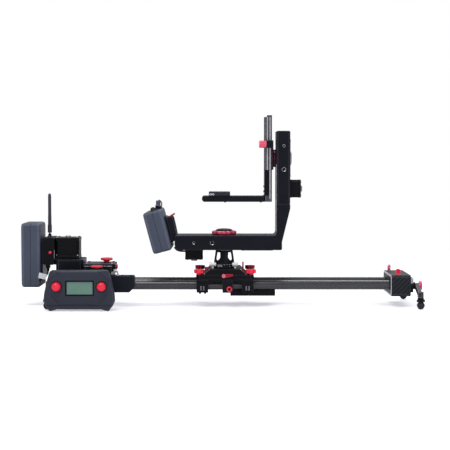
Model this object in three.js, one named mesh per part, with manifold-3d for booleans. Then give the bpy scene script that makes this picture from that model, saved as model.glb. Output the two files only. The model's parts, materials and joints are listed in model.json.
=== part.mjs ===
// Motorised camera slider: a carriage on two carbon tubes, carrying a pan and tilt head.
// Millimetres, +Z up. X runs along the rails, -Y is the operator's side, Z = 0 is the floor.
// The origin is on the floor, midway between the tubes, below the pan axis of the parked carriage.
import * as THREE from 'three';
import { mergeVertices } from 'three/addons/utils/BufferGeometryUtils.js';
import Module from 'manifold-3d';

const wasm = await Module();
wasm.setup();

// ---------------------------------------------------------------- driving dimensions
const GAP = 0.3;                       // clearance between neighbouring solids

const TUBE_R = 11;                     // carbon tube outside radius
const TUBE_WALL = 1.5;
const TUBE_Y = 45;                     // half the distance between the tube axes
const TUBE_Z = 50;                     // height of the tube axes
const TUBE_X = [-290, 410];

const RIGHT_BLOCK = { x: [385, 430], y: 72, z: [25.5, 75] };
const END_PLATE = { x: 436, y: [-71.8, 34], z: [35, 68.5] };
const LEFT_BLOCK = { x: [-395, -264], y: 62, z: [30, 81.7] };
const TUBE_CLAMP = { x: [-265, -210], y: [-65, -31], z: [34, 73] };
const WING_SCREW = { x: [401.5, 396], y: 60, z: 75.4 };   // near one, far one
const SADDLE = { x: [12.5, 117], y: 48, z: [24.5, 38.7] };

const BELT_Z = [45.5, 54.5];           // rail belt, standing on edge between the tubes
const BELT_THICK = 1.5;
const DRIVE_R = 10;                    // rail belt pulley radius, both ends
const DRIVE_X = -370.5;                // slide motor and drive pulley axis
const IDLER_X = 405;

const HOUSING = { x: [-395, -330], y: 44, z: [82, 109] };
const PLATE = { x: [-331, -256], y: [-60, 20], z: [82, 100] };
const NEMA23 = { half: 28.5, z: [109.3, 159] };
const NEMA17_HALF = 21;
const DRIVER = { x: [-426, -399.3], y: 40, z: [96, 160] };
const BUTTON = { x: -408, z: 125, r: 3.8 };
const ANTENNA_X = -414;
const BATTERY = { long: 150, wide: 98, thick: 45.2, corner: 8 };
const VPLATE_X = [-430, -425];

const LEG_PIVOT_Y = 62;
const FOOT_Y = 108;
const FOOT_R = 9;
const NUT_R = 9.8;
const FOOT_AXIS_TOP = 34;
const FOOT_SPLAY = 2.5;                // the foot stands this far outside the middle of the leg

const CARRIAGE = { x: 67, y: 68, z: [56, 75], hump: { top: 36, foot: 50, z: 88 } };
const ROLLER_X = 52;
const ROLLER_Z = 68.4;
const ROLLER_HALF = 6;
const CARRIAGE_KNOB = 60;              // knob axes at plus and minus this, in X and in Y

const PAN_X = -2;                      // pan axis
const PAN_MOTOR_X = -73;
const ARM = { x: [-117, 118], y: 44, z: [131, 165], wall: 3 };
const COLUMN = { x: [120, 152], y: 42, z: [239.3, 408], wall: 3 };
const TILT_Z = 345;                    // tilt axis height, the axis runs along X
const TILT_MOTOR_Z = 273.8;
const HEAD_PULLEY_R = 22;              // large pulley of the pan and tilt belts
const HEAD_PINION_R = 6;
const HEAD_BELT = { thick: 1.5, wide: 8 };

const ARM_BATTERY = { x: -156.6, z: 175.5, lean: THREE.MathUtils.degToRad(-15) };

const RAIL = { x: [92, 110], y: 20, z: [243, 446] };
const CLAMP_KNOB_Y = -29.4;
const CAMERA_PLATE = { x: [-54, 92.5], y: 24, z: [243, 257] };

const CONTROLLER = { x: -329.5, y: [-150, -120.5], split: -131, half: 81, top: 92 };
const CONTROLLER_KNOB = { x: [-379.5, -278], z: 56, r: 10.5 };
const SCREEN = { x: -327.5, z: 52.5, w: 59, h: 29 };

const ROUND = 24;                      // facets on a large round surface
const SMALL_ROUND = 16;                // facets on a small round surface

// ---------------------------------------------------------------- materials
const finish = (color, roughness, metalness) =>
  new THREE.MeshStandardMaterial({ color, roughness, metalness, flatShading: true });

const blackAnodised = finish(0x1c1d24, 0.42, 0.6);
const redAnodised = finish(0xc8162c, 0.32, 0.7);
const carbon = finish(0x23242a, 0.35, 0.1);
const batteryPlastic = finish(0x464c5c, 0.6, 0.0);
const controllerPlastic = finish(0x2d2f37, 0.65, 0.0);
const blackPlastic = finish(0x17181c, 0.55, 0.0);
const rubber = finish(0x1a1b1d, 0.85, 0.0);
const screenGlass = finish(0x5f8778, 0.15, 0.0);
const motorSteel = finish(0x24252b, 0.45, 0.7);
const railMetal = finish(0x5b5c66, 0.35, 0.85);
const pulleyMetal = finish(0x9a9ba3, 0.35, 0.9);
const beltRubber = finish(0x121214, 0.9, 0.0);

// ---------------------------------------------------------------- solids
function signedVolume(position, index) {
  const [a, b, c] = [new THREE.Vector3(), new THREE.Vector3(), new THREE.Vector3()];
  let volume = 0;
  for (let i = 0; i < index.length; i += 3) {
    a.fromBufferAttribute(position, index[i]);
    b.fromBufferAttribute(position, index[i + 1]);
    c.fromBufferAttribute(position, index[i + 2]);
    volume += a.dot(b.cross(c)) / 6;
  }
  return volume;
}

// A closed three.js geometry as a solid with its faces pointing out.
function solid(geometry) {
  const bare = geometry.clone();
  bare.deleteAttribute('normal');
  bare.deleteAttribute('uv');
  const merged = mergeVertices(bare, 1e-4);
  const index = Uint32Array.from(merged.index.array);
  const kept = [];
  for (let i = 0; i < index.length; i += 3) {
    const [p, q, r] = [index[i], index[i + 1], index[i + 2]];
    if (p !== q && q !== r && r !== p) kept.push(p, q, r);
  }
  if (signedVolume(merged.attributes.position, kept) < 0) {
    for (let i = 0; i < kept.length; i += 3) {
      [kept[i + 1], kept[i + 2]] = [kept[i + 2], kept[i + 1]];
    }
  }
  return new wasm.Manifold(new wasm.Mesh({
    numProp: 3,
    vertProperties: Float32Array.from(merged.attributes.position.array),
    triVerts: Uint32Array.from(kept),
  }));
}

function toGeometry(manifold) {
  const mesh = manifold.getMesh();
  const geometry = new THREE.BufferGeometry();
  geometry.setAttribute('position', new THREE.BufferAttribute(mesh.vertProperties, 3));
  geometry.setIndex(new THREE.BufferAttribute(mesh.triVerts, 1));
  geometry.computeVertexNormals();
  return geometry;
}

// The same solid after a move, turn or mirror.
function moved(body, matrix) {
  const geometry = toGeometry(body);
  geometry.applyMatrix4(matrix);
  return solid(geometry);
}

const join = (...solids) => solids.reduce((sum, next) => sum.add(next));
const cut = (body, ...tools) => tools.reduce((rest, tool) => rest.subtract(tool), body);

function box([x0, x1], [y0, y1], [z0, z1]) {
  const geometry = new THREE.BoxGeometry(x1 - x0, y1 - y0, z1 - z0);
  geometry.translate((x0 + x1) / 2, (y0 + y1) / 2, (z0 + z1) / 2);
  return solid(geometry);
}

const Y_AXIS_TO = {
  x: new THREE.Matrix4().makeRotationZ(-Math.PI / 2),
  y: new THREE.Matrix4(),
  z: new THREE.Matrix4().makeRotationX(Math.PI / 2),
};

// A rod or cone along one axis, from one coordinate to another, centred on (x, y, z).
function rod(axis, [from, to], centre, r, rEnd = r, facets = SMALL_ROUND) {
  const geometry = new THREE.CylinderGeometry(rEnd, r, to - from, facets);
  geometry.translate(0, (from + to) / 2, 0);
  geometry.applyMatrix4(Y_AXIS_TO[axis]);
  geometry.translate(...centre);
  return solid(geometry);
}

// A turned solid about an axis; the profile lists [radius, place along the axis].
function turned(axis, profile, centre = [0, 0, 0], facets = ROUND) {
  const points = profile.map(([r, h]) => new THREE.Vector2(r, h));
  const geometry = new THREE.LatheGeometry(points, facets);
  geometry.applyMatrix4(Y_AXIS_TO[axis]);
  geometry.translate(...centre);
  return solid(geometry);
}

const ALONG = {
  x: new THREE.Matrix4().makeBasis(
    new THREE.Vector3(0, 1, 0), new THREE.Vector3(0, 0, 1), new THREE.Vector3(1, 0, 0)),
  y: new THREE.Matrix4().makeBasis(
    new THREE.Vector3(0, 0, 1), new THREE.Vector3(1, 0, 0), new THREE.Vector3(0, 1, 0)),
  z: new THREE.Matrix4(),
};

// An outline extruded along an axis. The outline is in (y, z) for x, (z, x) for y, (x, y) for z.
function prism(axis, shape, [from, to]) {
  const options = { depth: to - from, bevelEnabled: false, curveSegments: 3 };
  const geometry = new THREE.ExtrudeGeometry(shape, options);
  geometry.translate(0, 0, from);
  geometry.applyMatrix4(ALONG[axis]);
  return solid(geometry);
}

const outline = (points) => new THREE.Shape(points.map(([u, v]) => new THREE.Vector2(u, v)));
const outlineXZ = (points) => outline(points.map(([x, z]) => [z, x]));

// A rectangle with its corners cut at 45 degrees.
function chamferedRect([u0, u1], [v0, v1], c) {
  return outline([
    [u0 + c, v0], [u1 - c, v0], [u1, v0 + c], [u1, v1 - c],
    [u1 - c, v1], [u0 + c, v1], [u0, v1 - c], [u0, v0 + c],
  ]);
}

// A rectangle with round corners, centred on the origin.
function roundedRect(w, h, r) {
  const shape = new THREE.Shape();
  const [x, y] = [w / 2, h / 2];
  shape.moveTo(-x + r, -y);
  shape.lineTo(x - r, -y);
  shape.absarc(x - r, -y + r, r, -Math.PI / 2, 0);
  shape.lineTo(x, y - r);
  shape.absarc(x - r, y - r, r, 0, Math.PI / 2);
  shape.lineTo(-x + r, y);
  shape.absarc(-x + r, y - r, r, Math.PI / 2, Math.PI);
  shape.lineTo(-x, -y + r);
  shape.absarc(-x + r, -y + r, r, Math.PI, 1.5 * Math.PI);
  return shape;
}

// A scalloped grip outline: lobes around a circle.
function scalloped(r, depth, lobes) {
  const steps = lobes * 3;
  const points = [];
  for (let i = 0; i < steps; i += 1) {
    const angle = (i / steps) * Math.PI * 2;
    const reach = r - depth * (0.5 - 0.5 * Math.cos(angle * lobes));
    points.push([reach * Math.cos(angle), reach * Math.sin(angle)]);
  }
  return outline(points);
}

// The path of a belt around two wheels: half circles joined by straight strands.
function beltOutline(u0, r0, u1, r1) {
  const lean = Math.asin((r0 - r1) / (u1 - u0));
  const points = [];
  const steps = 12;
  for (let i = 0; i <= steps; i += 1) {
    const angle = Math.PI / 2 - lean + ((Math.PI + 2 * lean) * i) / steps;
    points.push([u0 + r0 * Math.cos(angle), r0 * Math.sin(angle)]);
  }
  for (let i = 0; i <= steps; i += 1) {
    const angle = 1.5 * Math.PI + lean + ((Math.PI - 2 * lean) * i) / steps;
    points.push([u1 + r1 * Math.cos(angle), r1 * Math.sin(angle)]);
  }
  return outline(points);
}

function belt(axis, u0, r0, u1, r1, thick, span) {
  const outer = prism(axis, beltOutline(u0, r0 + thick, u1, r1 + thick), span);
  const inner = prism(axis, beltOutline(u0, r0, u1, r1), [span[0] - 1, span[1] + 1]);
  return outer.subtract(inner);
}

// ---------------------------------------------------------------- assembly helpers
const slider = new THREE.Group();

function place(name, body, material, parent = slider, position = [0, 0, 0]) {
  const piece = new THREE.Mesh(toGeometry(body), material);
  piece.name = name;
  piece.position.set(...position);
  parent.add(piece);
  return piece;
}

// ---------------------------------------------------------------- rails and end blocks
function tube() {
  const [x0, x1] = TUBE_X;
  const bore = TUBE_R - TUBE_WALL;
  return turned('x', [[bore, x0], [TUBE_R, x0], [TUBE_R, x1], [bore, x1], [bore, x0]]);
}

// Sockets for both tubes, cut a little larger than the tubes.
function tubeSockets([from, to]) {
  const r = TUBE_R + GAP;
  return [-TUBE_Y, TUBE_Y].map((y) => rod('x', [from, to], [0, y, TUBE_Z], r, r, ROUND));
}

function endBlockRight() {
  const { x, y, z } = RIGHT_BLOCK;
  const body = prism('x', chamferedRect([-y, y], z, 4), x);
  const plate = prism('x', chamferedRect(END_PLATE.y, END_PLATE.z, 3), [x[1] - 1, END_PLATE.x]);
  const endPlate = cut(plate, rod('x', [x[1], END_PLATE.x + 1], [0, -LEG_PIVOT_Y, TUBE_Z], 8.8, 8.8, ROUND));
  const beltWell = box([x[0] - 1, x[1] - 8], [-26, 26], [42, 58]);
  const screwHoles = WING_SCREW.x.map((screwX, i) =>
    rod('z', [67, 90], [screwX, i ? WING_SCREW.y : -WING_SCREW.y, 0], 3 + GAP));
  return join(
    cut(join(body, endPlate), beltWell, ...tubeSockets([x[0] - 1, TUBE_X[1] + 1]), ...screwHoles),
    rod('z', [41, 59], [IDLER_X, 0, 0], 3));
}

function endBlockLeft() {
  const { x, y, z } = LEFT_BLOCK;
  const body = prism('x', chamferedRect([-y, y], z, 5), x);
  const c = TUBE_CLAMP;
  const collar = prism('y', outlineXZ([
    [c.x[0] - 4, c.z[0]], [c.x[1] - 12, c.z[0]], [c.x[1], c.z[0] + 12],
    [c.x[1], c.z[1] - 3], [c.x[1] - 3, c.z[1]], [c.x[0] - 4, c.z[1]],
  ]), c.y);
  const beltWell = box([DRIVE_X - 16, c.x[1] + 1], [-18, 18], [42, 58]);
  const shaftHole = rod('z', [57, 90], [DRIVE_X, 0, 0], 6);
  return cut(join(body, collar), beltWell, shaftHole,
    ...tubeSockets([TUBE_X[0] - 1, c.x[1] + 1]));
}

// The tripod saddle: a ribbed plate bolted up under both tubes.
function tripodSaddle() {
  const { x, y, z } = SADDLE;
  const ribs = [];
  for (let ribX = x[0] + 14; ribX < x[1] - 8; ribX += 13) {
    ribs.push(rod('y', [-y - 1, -y + 2.5], [ribX, 0, z[1] + 2], 4.5, 4.5, 8));
    ribs.push(rod('y', [y - 2.5, y + 1], [ribX, 0, z[1] + 2], 4.5, 4.5, 8));
  }
  const hub = rod('z', [z[0] - 1, z[0] + 7], [(x[0] + x[1]) / 2, 0, 0], 5);
  return cut(prism('x', chamferedRect([-y, y], z, 2), x), ...ribs, hub);
}

function railBelt() {
  return belt('z', DRIVE_X, DRIVE_R + GAP, IDLER_X, DRIVE_R + GAP, BELT_THICK, BELT_Z);
}

// A flanged pulley; the drive pulley also carries the motor shaft up to the motor.
function railPulley(shaftTop) {
  const [low, high] = BELT_Z;
  const flange = DRIVE_R + 3;
  const rim = [[flange, low - 1.6], [flange, low - 0.4], [DRIVE_R, low - 0.4],
    [DRIVE_R, high + 0.4], [flange, high + 0.4], [flange, high + 1.6]];
  if (shaftTop) {
    const shaft = [[4, high + 1.6], [4, shaftTop], [0, shaftTop]];
    return turned('z', [[0, low - 1.6], ...rim, ...shaft], [0, 0, 0], SMALL_ROUND);
  }
  const bore = 3.35;
  const profile = [[bore, low - 1.6], ...rim, [bore, high + 1.6], [bore, low - 1.6]];
  return turned('z', profile, [0, 0, 0], SMALL_ROUND);
}

place('tube_front', tube(), carbon, slider, [0, -TUBE_Y, TUBE_Z]);
place('tube_rear', tube(), carbon, slider, [0, TUBE_Y, TUBE_Z]);
place('left_end_block', endBlockLeft(), blackAnodised);
place('right_end_block', endBlockRight(), blackAnodised);
place('tripod_saddle', tripodSaddle(), blackAnodised);
place('slide_belt', railBelt(), beltRubber);
place('drive_pulley', railPulley(NEMA23.z[0] + 6), pulleyMetal, slider, [DRIVE_X, 0, 0]);
place('idler_pulley', railPulley(0), pulleyMetal, slider, [IDLER_X, 0, 0]);

// ---------------------------------------------------------------- legs
// One leg: a head on the pivot, an arm down and out, and a threaded boss for the foot.
// Built for the near side (-Y) with its pivot at the origin and X pointing away from the block.
function leg(standoff) {
  const reach = FOOT_Y - LEG_PIVOT_Y;
  const drop = TUBE_Z - FOOT_AXIS_TOP;
  const arm = prism('x', outline([
    [-4, 7], [-9, 3], [-reach - 5, -drop + 6], [-reach - 7, -drop], [-reach - 7, -drop - 8],
    [-reach + 7, -drop - 8], [-reach + 7, -drop - 3], [3, -7.5],
  ]), [standoff, standoff + 9]);
  const head = rod('x', [0, standoff + 9], [0, 0, 0], 8.4, 8.4, 16);
  const footX = standoff + 4.5 + FOOT_SPLAY;
  const thread = rod('z', [-drop - 20, -drop + 4], [footX, -reach, 0], 3 + GAP, 3 + GAP, 10);
  const boss = rod('z', [-drop - 8, -drop + 6], [footX, -reach, 0], 6.5, 6.5, 16);
  const pivotBore = rod('x', [standoff + 3, standoff + 10], [0, 0, 0], 3 + GAP, 3 + GAP, 10);
  return cut(join(arm, head, boss), thread, pivotBore);
}

// A foot: rubber ball, lock nut and threaded stud, turned in one, standing on Z = 0.
function foot() {
  const ball = [];
  const rings = 5;
  for (let i = 0; i < rings; i += 1) {
    const angle = Math.PI * (-0.36 + (0.66 * i) / (rings - 1));
    ball.push([FOOT_R * Math.cos(angle), FOOT_R + FOOT_R * Math.sin(angle)]);
  }
  return turned('z', [[0, 0], [2.5, 0], ...ball, [5, 16.8], [NUT_R, 16.8], [NUT_R, 22.6],
    [3, 22.6], [3, FOOT_AXIS_TOP + 2], [0, FOOT_AXIS_TOP + 2]], [0, 0, 0], SMALL_ROUND);
}

function legKnob(standoff) {
  const grip = prism('x', scalloped(11, 1, 8), [standoff + 9.4, standoff + 16]);
  return join(grip, rod('x', [standoff + 3.6, standoff + 10], [0, 0, 0], 3, 3, 10));
}

function addLeg(corner, [x, side], standoff) {
  const outward = Math.sign(x);
  const mount = new THREE.Group();
  mount.position.set(x, -LEG_PIVOT_Y * side, TUBE_Z);
  slider.add(mount);
  const handed = new THREE.Matrix4().makeScale(outward, side, 1);
  place(`leg_${corner}`, moved(leg(standoff), handed), blackAnodised, mount);
  place(`leg_knob_${corner}`, moved(legKnob(standoff), handed), redAnodised, mount);
  const footX = x + outward * (standoff + 4.5 + FOOT_SPLAY);
  place(`foot_${corner}`, foot(), rubber, slider, [footX, -FOOT_Y * side, 0]);
}

addLeg('front_right', [RIGHT_BLOCK.x[1] + GAP, 1], 10.2);
addLeg('rear_right', [RIGHT_BLOCK.x[1] + GAP, -1], 0.4);
addLeg('front_left', [LEFT_BLOCK.x[0] - GAP, 1], 4);
addLeg('rear_left', [LEFT_BLOCK.x[0] - GAP, -1], 4);

// ---------------------------------------------------------------- drive end
// The housing over the drive pulley, stepping down to the plate that clamps onto the rail end.
function driveHousing() {
  const h = HOUSING;
  const p = PLATE;
  const tower = prism('z', chamferedRect(h.x, [-h.y, h.y], 6), h.z);
  const plate = prism('z', chamferedRect(p.x, p.y, 8), p.z);
  const tab = prism('z', chamferedRect([-311, -281], [-90, p.y[0] + 10], 10), [p.z[0], 89.5]);
  const shaftWell = rod('z', [h.z[0] - 1, h.z[1] + 1], [DRIVE_X, 0, 0], 6);
  const holes = housingKnobs.map(({ x, y }) => rod('z', [p.z[0] + 3, 120], [x, y, 0], 3 + GAP));
  return cut(join(tower, plate, tab), shaftWell, ...holes);
}

function slideMotor() {
  const h = NEMA23.half;
  const [z0, z1] = NEMA23.z;
  const plate = prism('z', chamferedRect([-h, h], [-h, h], 3), [z0, z0 + 8]);
  const stack = prism('z', chamferedRect([-h, h], [-h, h], 7), [z0 + 7, z1 - 7]);
  const cap = prism('z', chamferedRect([-h, h], [-h, h], 3), [z1 - 8, z1]);
  const boss = rod('z', [z1 - 1, z1 + 4], [0, 0, 0], 6.5);
  const shaftWell = rod('z', [z0 - 1, z0 + 7], [0, 0, 0], 5);
  return cut(join(plate, stack, cap, boss), shaftWell);
}

function driverBox() {
  const { x, y, z } = DRIVER;
  const body = prism('y', chamferedRect([z[0], z[1]], x, 2.5), [-y, y]);
  const foot = box([x[1] - 1, HOUSING.x[0] - GAP], [-30, 30], [z[0], z[0] + 11]);
  const vPlate = prism('x', chamferedRect([-36, 36], [62, 158], 6), VPLATE_X);
  const buttonWell = rod('y', [-y - 1, -y + 5], [BUTTON.x, 0, BUTTON.z], BUTTON.r + GAP);
  const antennaPost = rod('z', [z[1] - 1, z[1] + 7], [ANTENNA_X, 0, 0], 4, 4, 16);
  const knuckleSlot = box([ANTENNA_X - 1.6, ANTENNA_X + 1.6], [-5, 5], [z[1] + 0.4, z[1] + 8]);
  return cut(join(body, foot, vPlate, antennaPost), buttonWell, knuckleSlot);
}

// A battery brick standing on its short end, thickness along X, centred on the origin.
function battery(long, wide) {
  const { thick, corner } = BATTERY;
  const [half, rim] = [thick / 2, 5];
  const middle = prism('x', roundedRect(wide, long, corner), [-half + rim, half - rim]);
  const faces = prism('x', roundedRect(wide - rim, long - rim, corner), [-half, half]);
  return join(middle, faces);
}

// A stub antenna with its fold knuckle, standing on the origin.
function antenna() {
  const whip = turned('z', [[0, 5.2], [4.75, 5.2], [4.9, 22], [4.1, 24], [3.75, 91], [2.6, 96.5], [0, 97.6]],
    [0, 0, 0], 16);
  return join(whip, box([-1.3, 1.3], [-3.2, 3.2], [-2.7, 6]));
}

function driverButton() {
  return turned('y', [[0, -3.2], [2.2, -2.8], [BUTTON.r, -1.2], [BUTTON.r, 4], [0, 4]]);
}

function flaredKnob(r, neck, height, stem) {
  const head = prism('z', scalloped(r, 1.1, 8), [height * 0.4, height]);
  const throat = rod('z', [0, height * 0.45], [0, 0, 0], neck, r * 0.78);
  return join(head, throat, rod('z', [-stem, 1], [0, 0, 0], 3, 3, 10));
}

function wingScrew() {
  const wing = prism('y', outlineXZ([
    [-3, 1], [3, 1], [6.5, 5], [6.5, 11], [3.5, 14], [-3.5, 14], [-6.5, 11], [-6.5, 5],
  ]), [-2.5, 2.5]);
  return join(wing, rod('z', [-5, 3], [0, 0, 0], 3, 3, 10));
}

const housingKnobs = [
  { name: 'housing_knob_rear', x: -280, y: 0, z: PLATE.z[1] + GAP, r: 14.3, height: 10 },
  { name: 'housing_knob_front', x: -296, y: -76, z: 89.5 + GAP, r: 13.5, height: 8 },
];

place('drive_housing', driveHousing(), blackAnodised);
place('slide_motor', slideMotor(), motorSteel, slider, [DRIVE_X, 0, 0]);
place('driver_box', driverBox(), blackPlastic);
place('driver_button', driverButton(), redAnodised, slider, [BUTTON.x, -DRIVER.y, BUTTON.z]);
place('antenna', antenna(), blackPlastic, slider, [ANTENNA_X, 0, DRIVER.z[1] + 5]);
place('left_battery', battery(BATTERY.long, BATTERY.wide), batteryPlastic, slider,
  [VPLATE_X[0] - GAP - BATTERY.thick / 2, 0, 44 + BATTERY.long / 2]);
for (const { name, x, y, z, r, height } of housingKnobs) {
  place(name, flaredKnob(r, 6, height, 4), redAnodised, slider, [x, y, z]);
}

place('end_thumbscrew_front', wingScrew(), redAnodised, slider,
  [WING_SCREW.x[0], -WING_SCREW.y, WING_SCREW.z]);
const rearWing = place('end_thumbscrew_rear', wingScrew(), redAnodised, slider,
  [WING_SCREW.x[1], WING_SCREW.y, WING_SCREW.z]);
rearWing.rotation.z = THREE.MathUtils.degToRad(65);

// ---------------------------------------------------------------- hand controller
// The flared outline, symmetric about x = 0: shoulders above, bumper corners below.
function controllerOutline(inset) {
  const half = CONTROLLER.half - inset;
  const top = CONTROLLER.top - inset;
  const right = [
    [half - 15, inset], [half - 10.5, 5.5 + inset * 0.4], [half - 0.4, 24], [half - 2.6, 45],
    [half - 6.4, 61], [half - 11, top - 13], [half - 14.5, top - 2], [half - 18, top],
  ];
  const left = right.map(([x, z]) => [-x, z]).reverse();
  return outlineXZ([[-50, inset + 4], [50, inset + 4], ...right, ...left]);
}

function controllerFront() {
  const { y, split } = CONTROLLER;
  const shell = join(prism('y', controllerOutline(0), [y[0] + 4, split]),
    prism('y', controllerOutline(3), [y[0], y[0] + 5]));
  const hollow = prism('y', controllerOutline(4.5), [y[0] + 7, split + 1]);
  const groove = box([-90, 90], [y[0] - 1, y[0] + 1.2], [13, 15.5]);
  const screenX = SCREEN.x - CONTROLLER.x;
  const around = (rim, depth) => box(
    [screenX - SCREEN.w / 2 - rim, screenX + SCREEN.w / 2 + rim], depth,
    [SCREEN.z - SCREEN.h / 2 - rim, SCREEN.z + SCREEN.h / 2 + rim]);
  const bezel = around(3, [y[0] - 1, y[0] + 2]);
  const windowSeat = around(GAP, [y[0], y[0] + 5]);
  const knobHoles = CONTROLLER_KNOB.x.map((x) =>
    rod('y', [y[0] - 1, y[0] + 9], [x - CONTROLLER.x, 0, CONTROLLER_KNOB.z], 3 + GAP));
  return cut(shell, hollow, groove, bezel, windowSeat, ...knobHoles);
}

function controllerBack() {
  const { y, split } = CONTROLLER;
  const shell = prism('y', controllerOutline(0), [split + GAP, y[1]]);
  const hollow = prism('y', controllerOutline(4.5), [split - 1, y[1] - 2.5]);
  return cut(shell, hollow);
}

function controllerKnob() {
  const { r } = CONTROLLER_KNOB;
  const dome = turned('y', [[0, -13], [5, -12.6], [8.2, -10.8], [r, -7], [r, -0.4], [0, -0.4]]);
  return join(dome, rod('y', [-1, 8], [0, 0, 0], 3, 3, 10));
}

const controller = new THREE.Group();
controller.position.x = CONTROLLER.x;
slider.add(controller);
place('controller_front_shell', controllerFront(), controllerPlastic, controller);
place('controller_back_shell', controllerBack(), controllerPlastic, controller);
place('controller_screen', box([-SCREEN.w / 2, SCREEN.w / 2], [0, 2.4], [-SCREEN.h / 2, SCREEN.h / 2]),
  screenGlass, controller, [SCREEN.x - CONTROLLER.x, CONTROLLER.y[0] + 2.2, SCREEN.z]);
['left', 'right'].forEach((side, i) => {
  place(`controller_knob_${side}`, controllerKnob(), redAnodised, controller,
    [CONTROLLER_KNOB.x[i] - CONTROLLER.x, CONTROLLER.y[0], CONTROLLER_KNOB.z]);
});

// ---------------------------------------------------------------- carriage
const corners = [
  { name: 'front_left', sx: -1, sy: -1 }, { name: 'front_right', sx: 1, sy: -1 },
  { name: 'rear_left', sx: -1, sy: 1 }, { name: 'rear_right', sx: 1, sy: 1 },
];

function carriageFrame() {
  const { x, y, z } = CARRIAGE;
  const deckUnder = 65;
  const deck = prism('z', chamferedRect([-x, x], [-y, y], 7), [deckUnder, z[1]]);
  const { hump } = CARRIAGE;
  const bridge = prism('y', outlineXZ([
    [-hump.foot, z[1] - 1], [hump.foot, z[1] - 1], [hump.foot, z[1]], [hump.top, hump.z],
    [-hump.top, hump.z], [-hump.foot, z[1]],
  ]), [-y, y]);
  const skirts = [-1, 1].map((side) => {
    const wall = [[-x + 1, x - 1], side < 0 ? [-y, -y + 9.5] : [y - 9.5, y], [z[0], z[1] - 4]];
    return box(...wall);
  });
  const bogies = corners.map(({ sx, sy }) => {
    const span = sx < 0 ? [-66, -39] : [39, 66];
    const profile = outline([
      [sy * 57.5, 66], [sy * 57.5, 39.5], [sy * 49.2, 38.7], [sy * 49.2, 34], [sy * 66, 34],
      [sy * (y + 3), 40], [sy * (y + 3), 60], [sy * y, 66],
    ]);
    return prism('x', profile, span);
  });
  const lockBlock = box([-6, 18], [-y - 3, -58.5], [34, 66]);
  const pockets = corners.map(({ sx, sy }) =>
    box([sx * ROLLER_X - 9.6, sx * ROLLER_X + 9.6], [sy * TUBE_Y - 6.6, sy * TUBE_Y + 6.6], [60, 77.9]));
  const axleHoles = corners.map(({ sx, sy }) =>
    rod('y', [sy * TUBE_Y - 9.6, sy * TUBE_Y + 9.6], [sx * ROLLER_X, 0, ROLLER_Z], 2.9, 2.9, 10));
  const knobHoles = corners.map(({ sx, sy }) =>
    rod('z', [z[1] - 10, z[1] + 1], [sx * CARRIAGE_KNOB, sy * CARRIAGE_KNOB, 0], 3.3, 3.3, 10));
  const leverHole = rod('y', [-y - 1, -y + 6], [-3, 0, 73], 2.3, 2.3, 10);
  const lockHole = rod('y', [-y - 4, -60], [10, 0, 43], 2.8, 2.8, 10);
  return cut(join(deck, bridge, ...skirts, ...bogies, lockBlock),
    ...pockets, ...axleHoles, ...knobHoles, leverHole, lockHole);
}

// A roller with a hollowed tread that sits on top of a tube, and its two axle stubs.
function roller() {
  const tread = [];
  const rings = 4;
  for (let i = 0; i <= rings; i += 1) {
    const t = -ROLLER_HALF + (2 * ROLLER_HALF * i) / rings;
    const crown = TUBE_Z + Math.sqrt((TUBE_R + GAP) ** 2 - t * t);
    tread.push([ROLLER_Z - crown, t]);
  }
  return turned('y', [[0, -9.2], [2.5, -9.2], [2.5, -ROLLER_HALF], ...tread,
    [2.5, ROLLER_HALF], [2.5, 9.2], [0, 9.2]], [0, 0, 0], SMALL_ROUND);
}

function carriageKnob() {
  const head = prism('z', scalloped(12, 1.1, 8), [6.6, 12.6]);
  const throat = turned('z', [[0, 0], [5, 0], [5, 3], [10.5, 7], [0, 7]], [0, 0, 0], SMALL_ROUND);
  return join(head, throat, rod('z', [-8, 1], [0, 0, 0], 3, 3, 10));
}

// The riser under the head: bowl ring, windowed cone and the fixed pulley the arm walks around.
function riserCone() {
  const ring = turned('z', [[0, 88.3], [30, 88.3], [30, 90.5], [24.5, 91.5], [24.5, 99], [0, 99]]);
  const skin = turned('z', [[20.5, 98], [24.5, 98], [20, 129], [16, 129], [20.5, 98]]);
  const cap = rod('z', [125, 130.6], [0, 0, 0], 20, 20, ROUND);
  const shaft = rod('z', [129, 143], [0, 0, 0], 8, 8, SMALL_ROUND);
  const pulley = turned('z', [
    [0, 142], [HEAD_PULLEY_R + 2.5, 142], [HEAD_PULLEY_R + 2.5, 143], [HEAD_PULLEY_R, 143],
    [HEAD_PULLEY_R, 152], [HEAD_PULLEY_R + 2.5, 152], [HEAD_PULLEY_R + 2.5, 153], [0, 153],
  ]);
  const window = prism('x', outline([
    [-8, 110], [-5, 104.5], [0, 102.5], [5, 104.5], [8, 110], [6, 124], [-6, 124],
  ]), [5, 40]);
  const windows = [];
  for (let i = 0; i < 4; i += 1) {
    const turn = new THREE.Matrix4().makeRotationZ(Math.PI / 4 + (Math.PI / 2) * i);
    windows.push(moved(window, turn));
  }
  return join(cut(join(ring, skin, cap), ...windows), shaft, pulley);
}

function brakeLever() {
  const blade = prism('y', outlineXZ([[-3, -4], [4, -4.5], [21, 0], [22, 3], [20, 5], [4, 4.5], [-3, 4]]),
    [-5, -0.4]);
  const hub = rod('y', [-6.5, -0.4], [0, 0, 0], 4.6, 4.6, 12);
  return join(blade, hub, rod('y', [-1, 5], [0, 0, 0], 2, 2, 8));
}

function lockKnob() {
  const grip = turned('y', [[0, -9], [3.4, -9], [4, -10], [5.6, -10], [6.5, -9], [6.5, -0.4], [0, -0.4]],
    [0, 0, 0], 24);
  return join(grip, rod('y', [-1, 8], [0, 0, 0], 2.5, 2.5, 10));
}

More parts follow.
